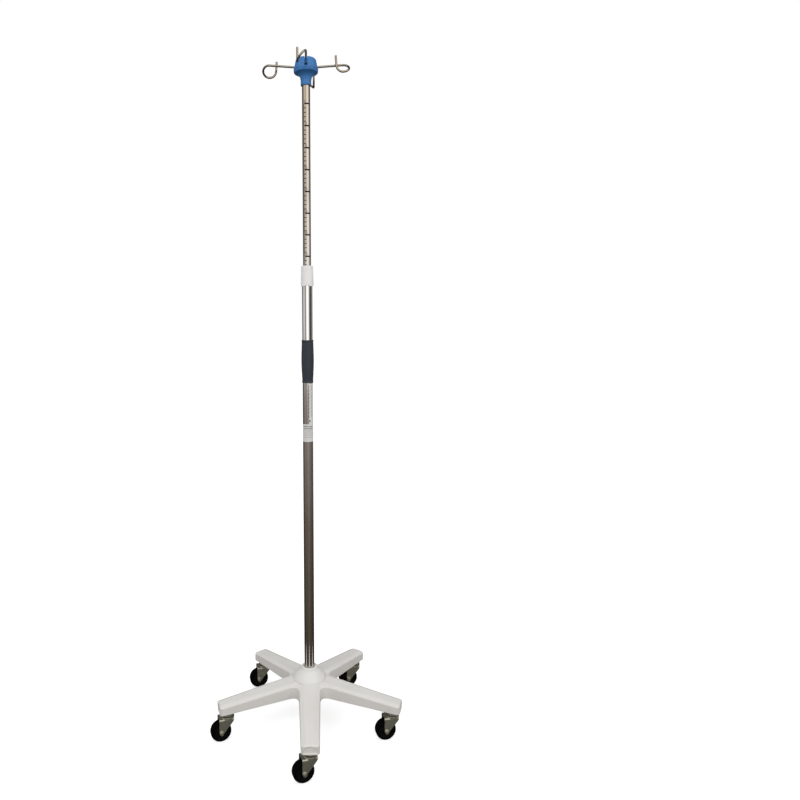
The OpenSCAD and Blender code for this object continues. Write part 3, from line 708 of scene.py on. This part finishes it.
class Finish(Nodes):
    """A procedural material: a Principled shader fed by layers of noise in object space."""

    def __init__(self, name, colour, rough, metal=0.0, **sockets):
        self.material = bpy.data.materials.new(name)
        super().__init__(self.material)
        self.shader = self.tree.nodes["Principled BSDF"]
        self.colour = self.new("RGB").outputs[0]
        self.colour.default_value = linear(colour)
        self.set(self.shader, "Metallic", metal)
        self.rough = rough
        self.rough_out = None
        self.heights = []
        self.place = self.new("TexCoord").outputs["Object"]
        for key, value in sockets.items():
            self.set(self.shader, SOCKETS[key], value)

    def set(self, node, key, value):
        node.inputs[key].default_value = value

    def spread(self, scale):
        """Object coordinates stretched by a factor along each axis."""
        node = self.new("Mapping")
        node.inputs["Scale"].default_value = scale
        self.link(self.place, node.inputs["Vector"])
        return node.outputs[0]

    def noise(self, scale, detail=4, rough=0.6, stretch=None, distortion=0.0):
        node = self.new("TexNoise")
        self.link(self.spread(stretch) if stretch else self.place, node.inputs["Vector"])
        self.set(node, "Scale", scale)
        self.set(node, "Detail", detail)
        self.set(node, "Roughness", rough)
        self.set(node, "Distortion", distortion)
        return node.outputs[0]

    def cells(self, scale):
        node = self.new("TexVoronoi")
        self.link(self.place, node.inputs["Vector"])
        self.set(node, "Scale", scale)
        return node.outputs["Distance"]

    def ramp(self, source, low, high, out_low=0.0, out_high=1.0):
        node = self.new("MapRange")
        node.interpolation_type = "SMOOTHSTEP"
        self.link(source, node.inputs["Value"])
        for key, value in zip(("From Min", "From Max", "To Min", "To Max"), (low, high, out_low, out_high)):
            self.set(node, key, value)
        return node.outputs[0]

    def tint(self, mask, colour):
        """Lays another colour over the finish where the mask is 1."""
        node = self.new("Mix")
        node.data_type = "RGBA"
        self.link(mask, node.inputs[0])
        self.link(self.colour, node.inputs[6])
        node.inputs[7].default_value = linear(colour)
        self.colour = node.outputs[2]
        return self

    def roughen(self, mask, amount):
        """Adds roughness where the mask is 1, or takes it away where amount is negative."""
        node = self.new("Math")
        node.operation = "MULTIPLY_ADD"
        node.use_clamp = True
        self.link(mask, node.inputs[0])
        node.inputs[1].default_value = amount
        if self.rough_out:
            self.link(self.rough_out, node.inputs[2])
        else:
            node.inputs[2].default_value = self.rough
        self.rough_out = node.outputs[0]
        return self

    def bump(self, height, distance, strength=1.0):
        """Relief: distance is the height of the relief in metres."""
        self.heights.append((height, distance, strength))
        return self

    def wear_and_shade(self):
        """The mesh's curvature: over 0.5 along convex edges and under it in hollows. Used for edge wear,
        and for painted shade in hollows.
        """
        return self.new("NewGeometry").outputs["Pointiness"]

    def done(self):
        """Links the colour, roughness and relief to the shader."""
        self.link(self.colour, self.shader.inputs["Base Color"])
        if self.rough_out:
            self.link(self.rough_out, self.shader.inputs["Roughness"])
        else:
            self.set(self.shader, "Roughness", self.rough)
        last = None
        for height, distance, strength in self.heights:
            node = self.new("Bump")
            self.set(node, "Distance", distance)
            self.set(node, "Strength", strength)
            self.link(height, node.inputs["Height"])
            if last:
                self.link(last, node.inputs["Normal"])
            last = node.outputs[0]
        if last:
            self.link(last, self.shader.inputs["Normal"])
        return self.material


SOCKETS = {"coat": "Coat Weight", "coat_rough": "Coat Roughness", "specular": "Specular IOR Level"}


def moulded(name, colour, shade, dirt, rough, **sockets):
    """Moulded plastic: a fine spark-eroded grain, faint flow marks, scuffs with a little grime, and painted
    shade darkening its hollows.
    """
    f = Finish(name, colour, rough, **sockets)
    flow = f.noise(9, 5, 0.6, distortion=0.6)
    f.tint(f.ramp(flow, 0.42, 0.72, 0, 0.55), shade)
    scuffs = f.ramp(f.noise(60, 8, 0.75, stretch=(1, 7, 2)), 0.60, 0.74)
    f.tint(f.maths("MULTIPLY", scuffs, f.ramp(f.noise(14), 0.5, 0.7, 0, 0.5)), dirt)
    # Painted shade: the dirt colour darkens the hollows, where shade falls, by up to 22 percent.
    f.tint(f.ramp(f.wear_and_shade(), 0.49, 0.42, 0, 0.22), dirt)
    f.roughen(f.noise(38, 6, 0.7), 0.16)
    f.roughen(scuffs, 0.10)
    f.bump(f.noise(2600, 3, 0.55), 0.00004, 0.5)
    f.bump(f.noise(70, 3, 0.5), 0.00025, 0.35)
    return f.done()


def polished(name, colour, dark, rough):
    """Polished steel tube: fine lines drawn round and along the tube, cloudy patches and fingermarks."""
    f = Finish(name, colour, rough, 1.0)
    drawn = f.noise(1600, 4, 0.7, stretch=(1, 1, 0.012))
    f.tint(f.ramp(drawn, 0.35, 0.75, 0, 0.25), dark)
    clouds = f.noise(26, 5, 0.6, stretch=(1, 1, 0.35))
    f.tint(f.ramp(clouds, 0.45, 0.75, 0, 0.35), dark)
    f.roughen(f.ramp(drawn, 0.3, 0.8), 0.06)
    f.roughen(f.ramp(clouds, 0.45, 0.8), 0.06)
    f.roughen(f.ramp(f.noise(420, 2, 0.5, stretch=(1, 1, 4)), 0.6, 0.8), 0.08)
    f.bump(drawn, 0.000003, 0.4)
    return f.done()


def plated(name, colour, dark, rough):
    """Bright zinc or nickel plate: a faint crystal pattern, handling scratches and duller patches."""
    f = Finish(name, colour, rough, 0.85)
    crystals = f.cells(260)
    f.tint(f.ramp(crystals, 0.2, 0.8, 0, 0.3), dark)
    patches = f.noise(45, 6, 0.65)
    f.tint(f.ramp(patches, 0.5, 0.75, 0, 0.4), dark)
    f.roughen(f.ramp(patches, 0.4, 0.75), 0.14)
    scratches = f.ramp(f.noise(240, 5, 0.8, stretch=(1, 9, 9), distortion=0.4), 0.62, 0.7)
    f.roughen(scratches, 0.18)
    f.bump(f.noise(500, 4, 0.6), 0.00003, 0.4)
    f.bump(scratches, 0.00001, 0.5)
    return f.done()


def rubbery(name, colour, dust, rough, grain, **sockets):
    """Rubber or soft plastic: a matt grain with pale dust and rubbed patches."""
    f = Finish(name, colour, rough, **sockets)
    dirt = f.noise(34, 7, 0.7)
    f.tint(f.ramp(dirt, 0.5, 0.8, 0, 0.30), dust)
    f.tint(f.ramp(f.noise(1900, 2, 0.5), 0.55, 0.75, 0, 0.12), dust)
    f.tint(f.ramp(f.wear_and_shade(), 0.51, 0.60, 0, 0.25), dust)
    f.roughen(f.ramp(dirt, 0.35, 0.7), 0.15)
    f.bump(f.cells(grain), 0.00006, 0.45)
    f.bump(f.noise(120, 4, 0.6), 0.00015, 0.3)
    return f.done()


def paper(name, colour, shade, rough):
    """A printed label's satin paper: fine fibres, a slight curl and handling marks."""
    f = Finish(name, colour, rough, coat=0.15, coat_rough=0.3)
    f.tint(f.ramp(f.noise(700, 6, 0.7, stretch=(1, 1, 0.4)), 0.4, 0.7, 0, 0.35), shade)
    f.tint(f.ramp(f.noise(60, 5, 0.6), 0.52, 0.75, 0, 0.35), shade)
    f.roughen(f.noise(80, 4, 0.6), 0.2)
    f.bump(f.noise(900, 5, 0.7), 0.00002, 0.6)
    f.bump(f.noise(90, 2, 0.5), 0.0001, 0.4)
    return f.done()


# The fourth colour of each moulded finish greys its scuffs as grime, and is also painted into its hollows
# as shade.
FINISHES = {
    "base_plastic": moulded("base_plastic", "E6E4DF", "DCD9D2", "B9B3A6", 0.34, coat=0.08, coat_rough=0.25),
    "cover_plastic": moulded("cover_plastic", "E9E8E4", "DFDDD7", "BDB8AC", 0.30, coat=0.1, coat_rough=0.2),
    "white_collar": moulded("white_collar", "F8F8F7", "E2E2E1", "B4B1AB", 0.32, coat=0.15, coat_rough=0.2),
    "nylon": moulded("nylon", "DCD8CC", "D0CBBD", "A8A294", 0.45),
    "head_blue": moulded("head_blue", "3B7DC0", "306CAF", "265591", 0.34, coat=0.12, coat_rough=0.25),
    "black_plastic": moulded("black_plastic", "060606", "0B0B0B", "161616", 0.45, specular=0.15),
    "steel_tube": polished("steel_tube", "CFCCC8", "98918A", 0.09),
    "hook_wire": polished("hook_wire", "C0B9AE", "857E75", 0.12),
    "zinc_steel": plated("zinc_steel", "B9BDAE", "8A8E80", 0.30),
    "grip_rubber": rubbery("grip_rubber", "2F3640", "505761", 0.55, 1500),
    "tyre_rubber": rubbery("tyre_rubber", "030303", "0B0B0B", 0.6, 900, specular=0.06),
    "label_paper": paper("label_paper", "E8E8E6", "D6D5D0", 0.42),
}

# ---------- Building the pieces ----------

UPRIGHT = Matrix.Rotation(math.pi / 2, 4, "X")


def add_object(name, data):
    thing = bpy.data.objects.new(name, data)
    bpy.context.scene.collection.objects.link(thing)
    return thing


def place_all(part, slot, spots):
    """One mesh with one finish in several spots, each (name, body, replaced nodes, matrix in metres)."""
    mesh = mesh_from(spots[0][0], part)
    mesh.materials.append(FINISHES[slot])
    for name, body, nodes, matrix in spots:
        piece = add_object(name, mesh)
        piece.matrix_world = matrix
        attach(piece, body)
        if nodes:
            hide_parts(*nodes)


def place(part, body, slot, name, *nodes):
    """A part that is drawn where it stands."""
    place_all(part, slot, [(name, body, nodes, Matrix())])


def around(half, low, high):
    """Two opposite corners of a box round the mast."""
    return (-half, -half, low), (half, half, high)


def build_base():
    cell = 1.0
    star = surface_of(base_star_field, *around(LEG_REACH + 3, LEG_TIP_LOW - 2, SOCKET_TOP + 4), cell)
    place(star, "base", "base_plastic", "star", "base_star")
    place(lathe(eased(COVER_ROWS), 160), "base", "cover_plastic", "hub_dome", "hub_cover")
    bolt = surface_of(mast_bolt_field, *around(WASHER_R + 2, LEG_ROOT_LOW - 10, LEG_ROOT_LOW + 28), 0.5)
    place(bolt, "base", "zinc_steel", "mast_screw", "mast_bolt")


def build_mast():
    lower = lathe(eased(tube_rows(LOWER_R, 1.2, SOCKET_FLOOR, LOWER_TOP)), 160)
    place(lower, "base", "steel_tube", "outer_tube", "lower_tube")
    upper = lathe(eased(tube_rows(UPPER_R, 1, UPPER_LOW, UPPER_LOW + UPPER_LEN)), 144)
    place(upper, "upper_mast", "steel_tube", "inner_tube", "upper_tube")
    place(lathe(eased(COLLET_ROWS), 96), "base", "nylon", "collet", "lock_collet")
    grip = lathe(eased([(r, z + GRIP_Z, k) for r, z, k in GRIP_ROWS], steps=5), 128)
    place(grip, "base", "grip_rubber", "grip", "hand_grip")
    cell = 0.36
    box = around(COLLAR_LOW_R + 1, COLLAR_Z - 1.2, COLLAR_TOP + 1.2)
    collar = surface_of(collar_field(), *box, cell)
    place(collar, "lock_collar", "white_collar", "collar", "lock_collar")


def patch(radius, left, right, low, high):
    """A printed rectangle on a tube: across it in millimetres from the front, and up it."""
    steps = max(1, int((right - left) / 1.2))
    a = np.linspace(left, right, steps + 1) / radius
    out = np.stack([np.sin(a), -np.cos(a), 0 * a], 1)
    rows = [out * radius + np.array((0, 0, z)) for z in (low, high)]
    n = steps + 1
    faces = [(i, i + 1, n + i + 1, n + i) for i in range(steps)]
    return np.concatenate(rows), np.concatenate([out, out]), np.array(faces)


STROKES = {"top": (0, 1, 0.86, 1), "middle": (0, 1, 0.43, 0.57), "foot": (0, 1, 0, 0.14),
           "up_left": (0, 0.2, 0.5, 1), "up_right": (0.8, 1, 0.5, 1),
           "low_left": (0, 0.2, 0, 0.5), "low_right": (0.8, 1, 0, 0.5)}
DIGITS = {
    "0": "top foot up_left up_right low_left low_right", "1": "up_right low_right",
    "2": "top middle foot up_right low_left", "3": "top middle foot up_right low_right",
    "4": "middle up_left up_right low_right", "5": "top middle foot up_left low_right",
    "6": "top middle foot up_left low_left low_right", "7": "top up_right low_right",
    "8": "top middle foot up_left up_right low_left low_right",
    "9": "top middle foot up_left up_right low_right",
}
DIGIT_W, DIGIT_H, DIGIT_STEP = 2.5, 5.0, 3.3
DIGIT_LEFT, DIGIT_RISE = -4.4, 2.8
SCALE_TOP, SCALE_MARKS, SCALE_STEP, SHORT_STEP = 1514, 17, 50, 10
LONG_MARK, LONG_HALF = (-4.6, 7.6), 1.7
SHORT_MARK, SHORT_HALF = (-5.6, -0.6), 0.9
SCALE_LINE = (-6.0, -5.2)
PRINT_LIFT = 0.04
LINES, LINE_GAP, LINE_MARGIN = ((1.8, 1.3), (8.2, 0.5), (10.2, 0.5)), 2.2, 6
BLOCK_LEFT, BLOCK_STEP, BLOCK_W, BLOCK_H, BLOCK_ROWS = -11.5, 3.4, 2.7, 1.7, (5, 10)
RULE_HALF, RULE_H, RULE_ROWS = 11.5, 0.5, (16, 21, 26, 31)


def digits(radius, text, left, low):
    """A number made of straight strokes."""
    for k, digit in enumerate(text):
        for stroke in DIGITS[digit].split():
            u0, u1, v0, v1 = STROKES[stroke]
            start = left + k * DIGIT_STEP
            across = (start + u0 * DIGIT_W, start + u1 * DIGIT_W)
            yield patch(radius, *across, low + v0 * DIGIT_H, low + v1 * DIGIT_H)


def build_scale():
    """The height scale on the upper tube: long marks with centimetres, and short marks between them."""
    radius = UPPER_R + PRINT_LIFT
    marks = []
    for k in range(SCALE_MARKS):
        z = SCALE_TOP - k * SCALE_STEP
        marks.append(patch(radius, *LONG_MARK, z - LONG_HALF, z + LONG_HALF))
        marks += digits(radius, str(5 * (k + 1)), DIGIT_LEFT, z + DIGIT_RISE)
        if k < SCALE_MARKS - 1:
            for down in range(SHORT_STEP, SCALE_STEP, SHORT_STEP):
                marks.append(patch(radius, *SHORT_MARK, z - down - SHORT_HALF, z - down + SHORT_HALF))
            marks.append(patch(radius, *SCALE_LINE, z - SCALE_STEP, z - LONG_HALF))
    place(joined(*marks), "upper_mast", "black_plastic", "scale_print")


def build_label_print():
    """Ruled lines and blocks on the two labels, with no words on them."""
    radius = LOWER_R + 0.2 + PRINT_LIFT
    marks = []
    top, band_top = GRIP_Z - LINE_MARGIN, BAND_Z + BAND_W
    low = band_top + LINE_MARGIN
    for k, (left, width) in enumerate(LINES):
        z = top
        while z > low + 12:
            run = 5 + (7 * k + int(z)) % 9
            marks.append(patch(radius, left, left + width, z - run, z))
            z -= run + LINE_GAP
    marks.append(patch(radius, 3, 6, low, low + 4))
    for down in BLOCK_ROWS:
        for k in range(7):
            left = BLOCK_LEFT + BLOCK_STEP * k
            marks.append(patch(radius, left, left + BLOCK_W, band_top - down - BLOCK_H, band_top - down))
    for down in RULE_ROWS:
        z = band_top - down
        marks.append(patch(radius, -RULE_HALF, RULE_HALF, z - RULE_H, z))
    place(joined(*marks), "base", "black_plastic", "label_print")


def build_head():
    cell = 0.45
    half = RIM_R + 1.5
    body = surface_of(head_body_field(), *around(half, HEAD_Z - 1, RIM_Z + BODY_CORE_H + 1.5), cell)
    place(body, "upper_mast", "head_blue", "hook_head", "head_body")
    cap = surface_of(head_cap_field(), *around(half, RIM_Z - 1, RIM_Z + CAP_H + 1), cell)
    place(cap, "upper_mast", "head_blue", "hook_cap", "head_cap")


def wire_hook():
    """A hook's bent wire and the eye round its pin, drawn along +X from the pin."""
    wire = swept(hook_path(), WIRE_R - 0.02, 32)
    eye = lathe(eased([(1.56, -2.8, 0.2), (4, -2.8, 0.7), (4, 2.8, 0.7), (1.56, 2.8, 0.2)]), 64)
    return joined(wire, moved(eye, UPRIGHT))


def hook_matrix(k):
    """The frame of hook k at rest, at its pin."""
    return (Matrix.Rotation(math.radians(90 * (k - 1)), 4, "Z")
            @ Matrix.Translation((PIVOT_R * MM, 0, PIVOT_Z * MM))
            @ Matrix.Rotation(math.radians(-HOOK_RISE), 4, "Y"))


def build_hooks():
    spots = [(f"wire_hook_{k}", f"hook_{k}", [f"hook_{k}"], hook_matrix(k)) for k in range(1, HOOKS + 1)]
    place_all(wire_hook(), "hook_wire", spots)


def caster_matrix(k, lift):
    """The frame of caster k, turned to its heading, with its origin moved by lift."""
    turn = math.radians(-90 + (k - 1) * LEG_TURN)
    return (Matrix.Translation((STEM_CIRCLE * math.cos(turn) * MM, STEM_CIRCLE * math.sin(turn) * MM, 0))
            @ Matrix.Rotation(math.radians(HEADING[k - 1]), 4, "Z")
            @ Matrix.Translation(Vector(lift) * MM))


def build_casters():
    cell = 0.5
    foot, axle = (0, 0, 0), (TRAIL, 0, AXLE_Z)
    fork = surface_of(fork_field(), (-18, -16, 16), (24, 16, RACE_LOW + 1.5), cell)
    bolt = surface_of(axle_bolt_field, (-7, -20, -7), (7, 20, 7), 0.5 * cell)
    stem = lathe(eased(STEM_ROWS, closed=False), 80, False)
    tyre = moved(lathe(eased(TYRE_ROWS, steps=4), 120), UPRIGHT)
    core = moved(lathe(eased(CORE_ROWS), 96), UPRIGHT)
    kinds = [
        ("fork", fork, "caster_{}", "zinc_steel", "caster_fork_{}", foot),
        ("axle", bolt, "caster_{}", "zinc_steel", "axle_bolt_{}", axle),
        ("stem", stem, "base", "zinc_steel", "caster_stem_{}", foot),
        ("tyre", tyre, "wheel_{}", "tyre_rubber", "wheel_tyre_{}", axle),
        ("hub", core, "wheel_{}", "black_plastic", "wheel_core_{}", axle),
    ]
    for kind, part, body, slot, node, lift in kinds:
        spots = [(f"{kind}_{k}", body.format(k), [node.format(k)], caster_matrix(k, lift))
                 for k in range(1, LEGS + 1)]
        place_all(part, slot, spots)


def keep_cad_pieces():
    """The CAD nodes that stay in view get their slot's finish."""
    slots = {row["node"]: row["material_slot"] for row in frame["record"]["subparts"]}
    for node, piece in frame["nodes"].items():
        piece.data.materials.clear()
        piece.data.materials.append(FINISHES[slots[node]])


build_base()
build_mast()
build_scale()
build_label_print()
build_head()
build_hooks()
build_casters()
keep_cad_pieces()

# ---------- Camera, floor and light ----------


LENS, SENSOR = 30.02, 36
SHIFT_X, SHIFT_Y = 0.11655, -0.03386
EYE = (-0.0048, -1.6036, 1.0305)
TILT_DOWN, YAW, ROLL = 5.13, -0.09, -0.35
FLOOR_SIZE, FLOOR_CENTRE, FLOOR_GLOW = 40, (0, 3, 0), 0.55
LAMPS = [("key", (-1.5, -2.4, 3.0), 31), ("fill", (2.2, -1.8, 2.2), 20)]
LAMP_SIZE, LAMP_TARGET = 1.6, (0, 0, 0.75)


def make_camera():
    """The photo's view. YAW and ROLL are small turns found when the camera was fitted."""
    data = bpy.data.cameras.new("camera")
    data.lens = LENS
    data.sensor_width = SENSOR
    data.shift_x, data.shift_y = SHIFT_X, SHIFT_Y
    data.clip_start, data.clip_end = 0.05, 50
    camera = add_object("camera", data)
    camera.matrix_world = (Matrix.Translation(EYE)
                           @ Matrix.Rotation(math.radians(YAW), 4, "Z")
                           @ Matrix.Rotation(math.radians(90 - TILT_DOWN), 4, "X")
                           @ Matrix.Rotation(math.radians(ROLL), 4, "Z"))
    bpy.context.scene.camera = camera


def make_floor():
    """A wide white floor, glowing a little, left out of reflections and bounced light."""
    paint = bpy.data.materials.new("floor")
    paint.use_nodes = True
    shader = paint.node_tree.nodes["Principled BSDF"]
    shader.inputs["Base Color"].default_value = linear("F2F2F2")
    shader.inputs["Roughness"].default_value = 0.9
    shader.inputs["Emission Color"].default_value = (1, 1, 1, 1)
    shader.inputs["Emission Strength"].default_value = FLOOR_GLOW
    half = FLOOR_SIZE / 2
    corners = [(-half, -half, 0), (half, -half, 0), (half, half, 0), (-half, half, 0)]
    mesh = bpy.data.meshes.new("floor")
    mesh.from_pydata(corners, [], [(0, 1, 2, 3)])
    mesh.materials.append(paint)
    floor = add_object("floor", mesh)
    floor.location = FLOOR_CENTRE
    floor.visible_diffuse = False
    floor.visible_glossy = False


def make_lamps():
    """Two soft lamps, left out of reflections."""
    for name, centre, power in LAMPS:
        data = bpy.data.lights.new(name, "AREA")
        data.shape = "RECTANGLE"
        data.size, data.size_y = LAMP_SIZE, LAMP_SIZE
        data.energy = power
        lamp = add_object(name, data)
        lamp.location = centre
        aim = Vector(LAMP_TARGET) - Vector(centre)
        lamp.rotation_euler = aim.to_track_quat("-Z", "Y").to_euler()
        lamp.visible_glossy = False


class Sky(Nodes):
    """The world: soft light for matt surfaces, and a room with stripes for metal to mirror."""

    def __init__(self):
        world = bpy.data.worlds.new("world")
        super().__init__(world)
        bpy.context.scene.world = world
        self.direction = self.new("SeparateXYZ")
        self.link(self.new("TexCoord").outputs["Generated"], self.direction.inputs[0])

    def ramp(self, value, low, high, stops):
        """A colour for each value between low and high. stops are (value, (r, g, b))."""
        scale = self.new("MapRange")
        self.link(value, scale.inputs["Value"])
        scale.inputs["From Min"].default_value = low
        scale.inputs["From Max"].default_value = high
        node = self.new("ValToRGB")
        node.color_ramp.interpolation = "EASE"
        elements = node.color_ramp.elements
        for i, (at, colour) in enumerate(stops):
            place = (at - low) / (high - low)
            element = elements[i] if i < 2 else elements.new(place)
            element.position = place
            element.color = (*colour, 1)
        self.link(scale.outputs[0], node.inputs[0])
        return node.outputs[0]

    def glow(self, colour, strength):
        node = self.new("Background")
        node.inputs["Strength"].default_value = strength
        if isinstance(colour, tuple):
            node.inputs["Color"].default_value = (*colour, 1)
        else:
            self.link(colour, node.inputs["Color"])
        return node.outputs[0]

    def mixed(self, blend, factor, a, b):
        node = self.new("Mix")
        node.data_type = "RGBA"
        node.blend_type = blend
        if factor:
            self.link(factor, node.inputs[0])
        else:
            node.inputs[0].default_value = 1
        self.link(a, node.inputs[6])
        self.link(b, node.inputs[7])
        return node.outputs[2]

    def azimuth(self):
        """Degrees round the mast from the front, positive to the right."""
        across, depth = self.direction.outputs[:2]
        angle = self.maths("ARCTAN2", across, self.maths("MULTIPLY", depth, -1))
        return self.maths("MULTIPLY", angle, 180 / math.pi)

    def choose(self, test, if_not, if_so):
        node = self.new("MixShader")
        self.link(test, node.inputs[0])
        self.link(if_not, node.inputs[1])
        self.link(if_so, node.inputs[2])
        return node.outputs[0]


def make_world():
    sky = Sky()
    height = sky.direction.outputs[2]
    soft = sky.ramp(height, -1, 1, SOFT_LIGHT)
    round_the_mast = sky.azimuth()
    stripes = sky.ramp(round_the_mast, -180, 180, ROOM_FLOOR)
    for zone, profile in ((EYE_LEVEL, ROOM_WINDOWS), (OVERHEAD, ROOM_WALLS)):
        share = sky.ramp(height, -1, 1, zone)
        stripes = sky.mixed("MIX", share, stripes, sky.ramp(round_the_mast, -180, 180, profile))
    room = sky.mixed("MULTIPLY", None, sky.ramp(height, -1, 1, ROOM_HEIGHT), stripes)
    path = sky.new("LightPath")
    world = sky.choose(path.outputs["Is Glossy Ray"], sky.glow(soft, 1.0), sky.glow(room, ROOM_STRENGTH))
    world = sky.choose(path.outputs["Is Camera Ray"], world, sky.glow((1, 1, 1), 1.0))
    sky.link(world, sky.tree.nodes["World Output"].inputs["Surface"])


def greys(*stops):
    """Grey stops for a ramp, each an angle or height and its share of full brightness."""
    return [(at, (value, value, value)) for at, value in stops]


ROOM_STRENGTH = 2.0
SOFT_LIGHT = [(-1, (0.22, 0.21, 0.20)), (-0.25, (0.32, 0.31, 0.30)), (0.05, (0.64, 0.63, 0.62)),
              (0.5, (0.66, 0.66, 0.67)), (1, (0.70, 0.70, 0.71))]
ROOM_HEIGHT = [
    (-1, (0.05, 0.04, 0.033)), (-0.5, (0.08, 0.063, 0.05)), (-0.34, (0.155, 0.125, 0.105)),
    (-0.24, (0.27, 0.235, 0.215)), (-0.14, (0.36, 0.315, 0.295)), (-0.1, (0.42, 0.38, 0.36)),
    (-0.085, (0.99, 0.98, 1.0)), (0.055, (0.99, 0.99, 1.0)), (0.07, (0.97, 0.9, 0.82)),
    (0.35, (0.88, 0.77, 0.64)), (0.8, (0.9, 0.86, 0.8)), (1, (0.9, 0.9, 0.9)),
]
EYE_LEVEL = greys((-1, 0), (-0.1, 0), (-0.085, 1), (1, 1))
OVERHEAD = greys((-1, 0), (0.055, 0), (0.07, 1), (1, 1))
ROOM_FLOOR = greys((-180, 0.15), (-114, 0.17), (-81, 0.38), (-56, 0.5), (-33, 0.4), (-5, 0.58), (15, 0.62),
                   (33, 0.42), (56, 0.4), (81, 0.28), (114, 0.25), (180, 0.15))
ROOM_WINDOWS = greys((-180, 0.05), (-112, 0.12), (-81, 0.6), (-56, 0.33), (-34, 0.16), (-14, 0.95),
                     (0, 1.0), (14, 0.95), (33, 0.5), (50, 0.04), (88, 0.04), (114, 0.22), (180, 0.05))
ROOM_WALLS = greys((-180, 0.05), (-112, 0.06), (-88, 0.1), (-56, 0.5), (-28, 0.36), (2, 0.5), (31, 0.8),
                   (63, 0.56), (86, 0.12), (110, 0.07), (180, 0.05))


bpy.context.scene.view_settings.view_transform = "Standard"
make_camera()
make_floor()
make_world()
make_lamps()
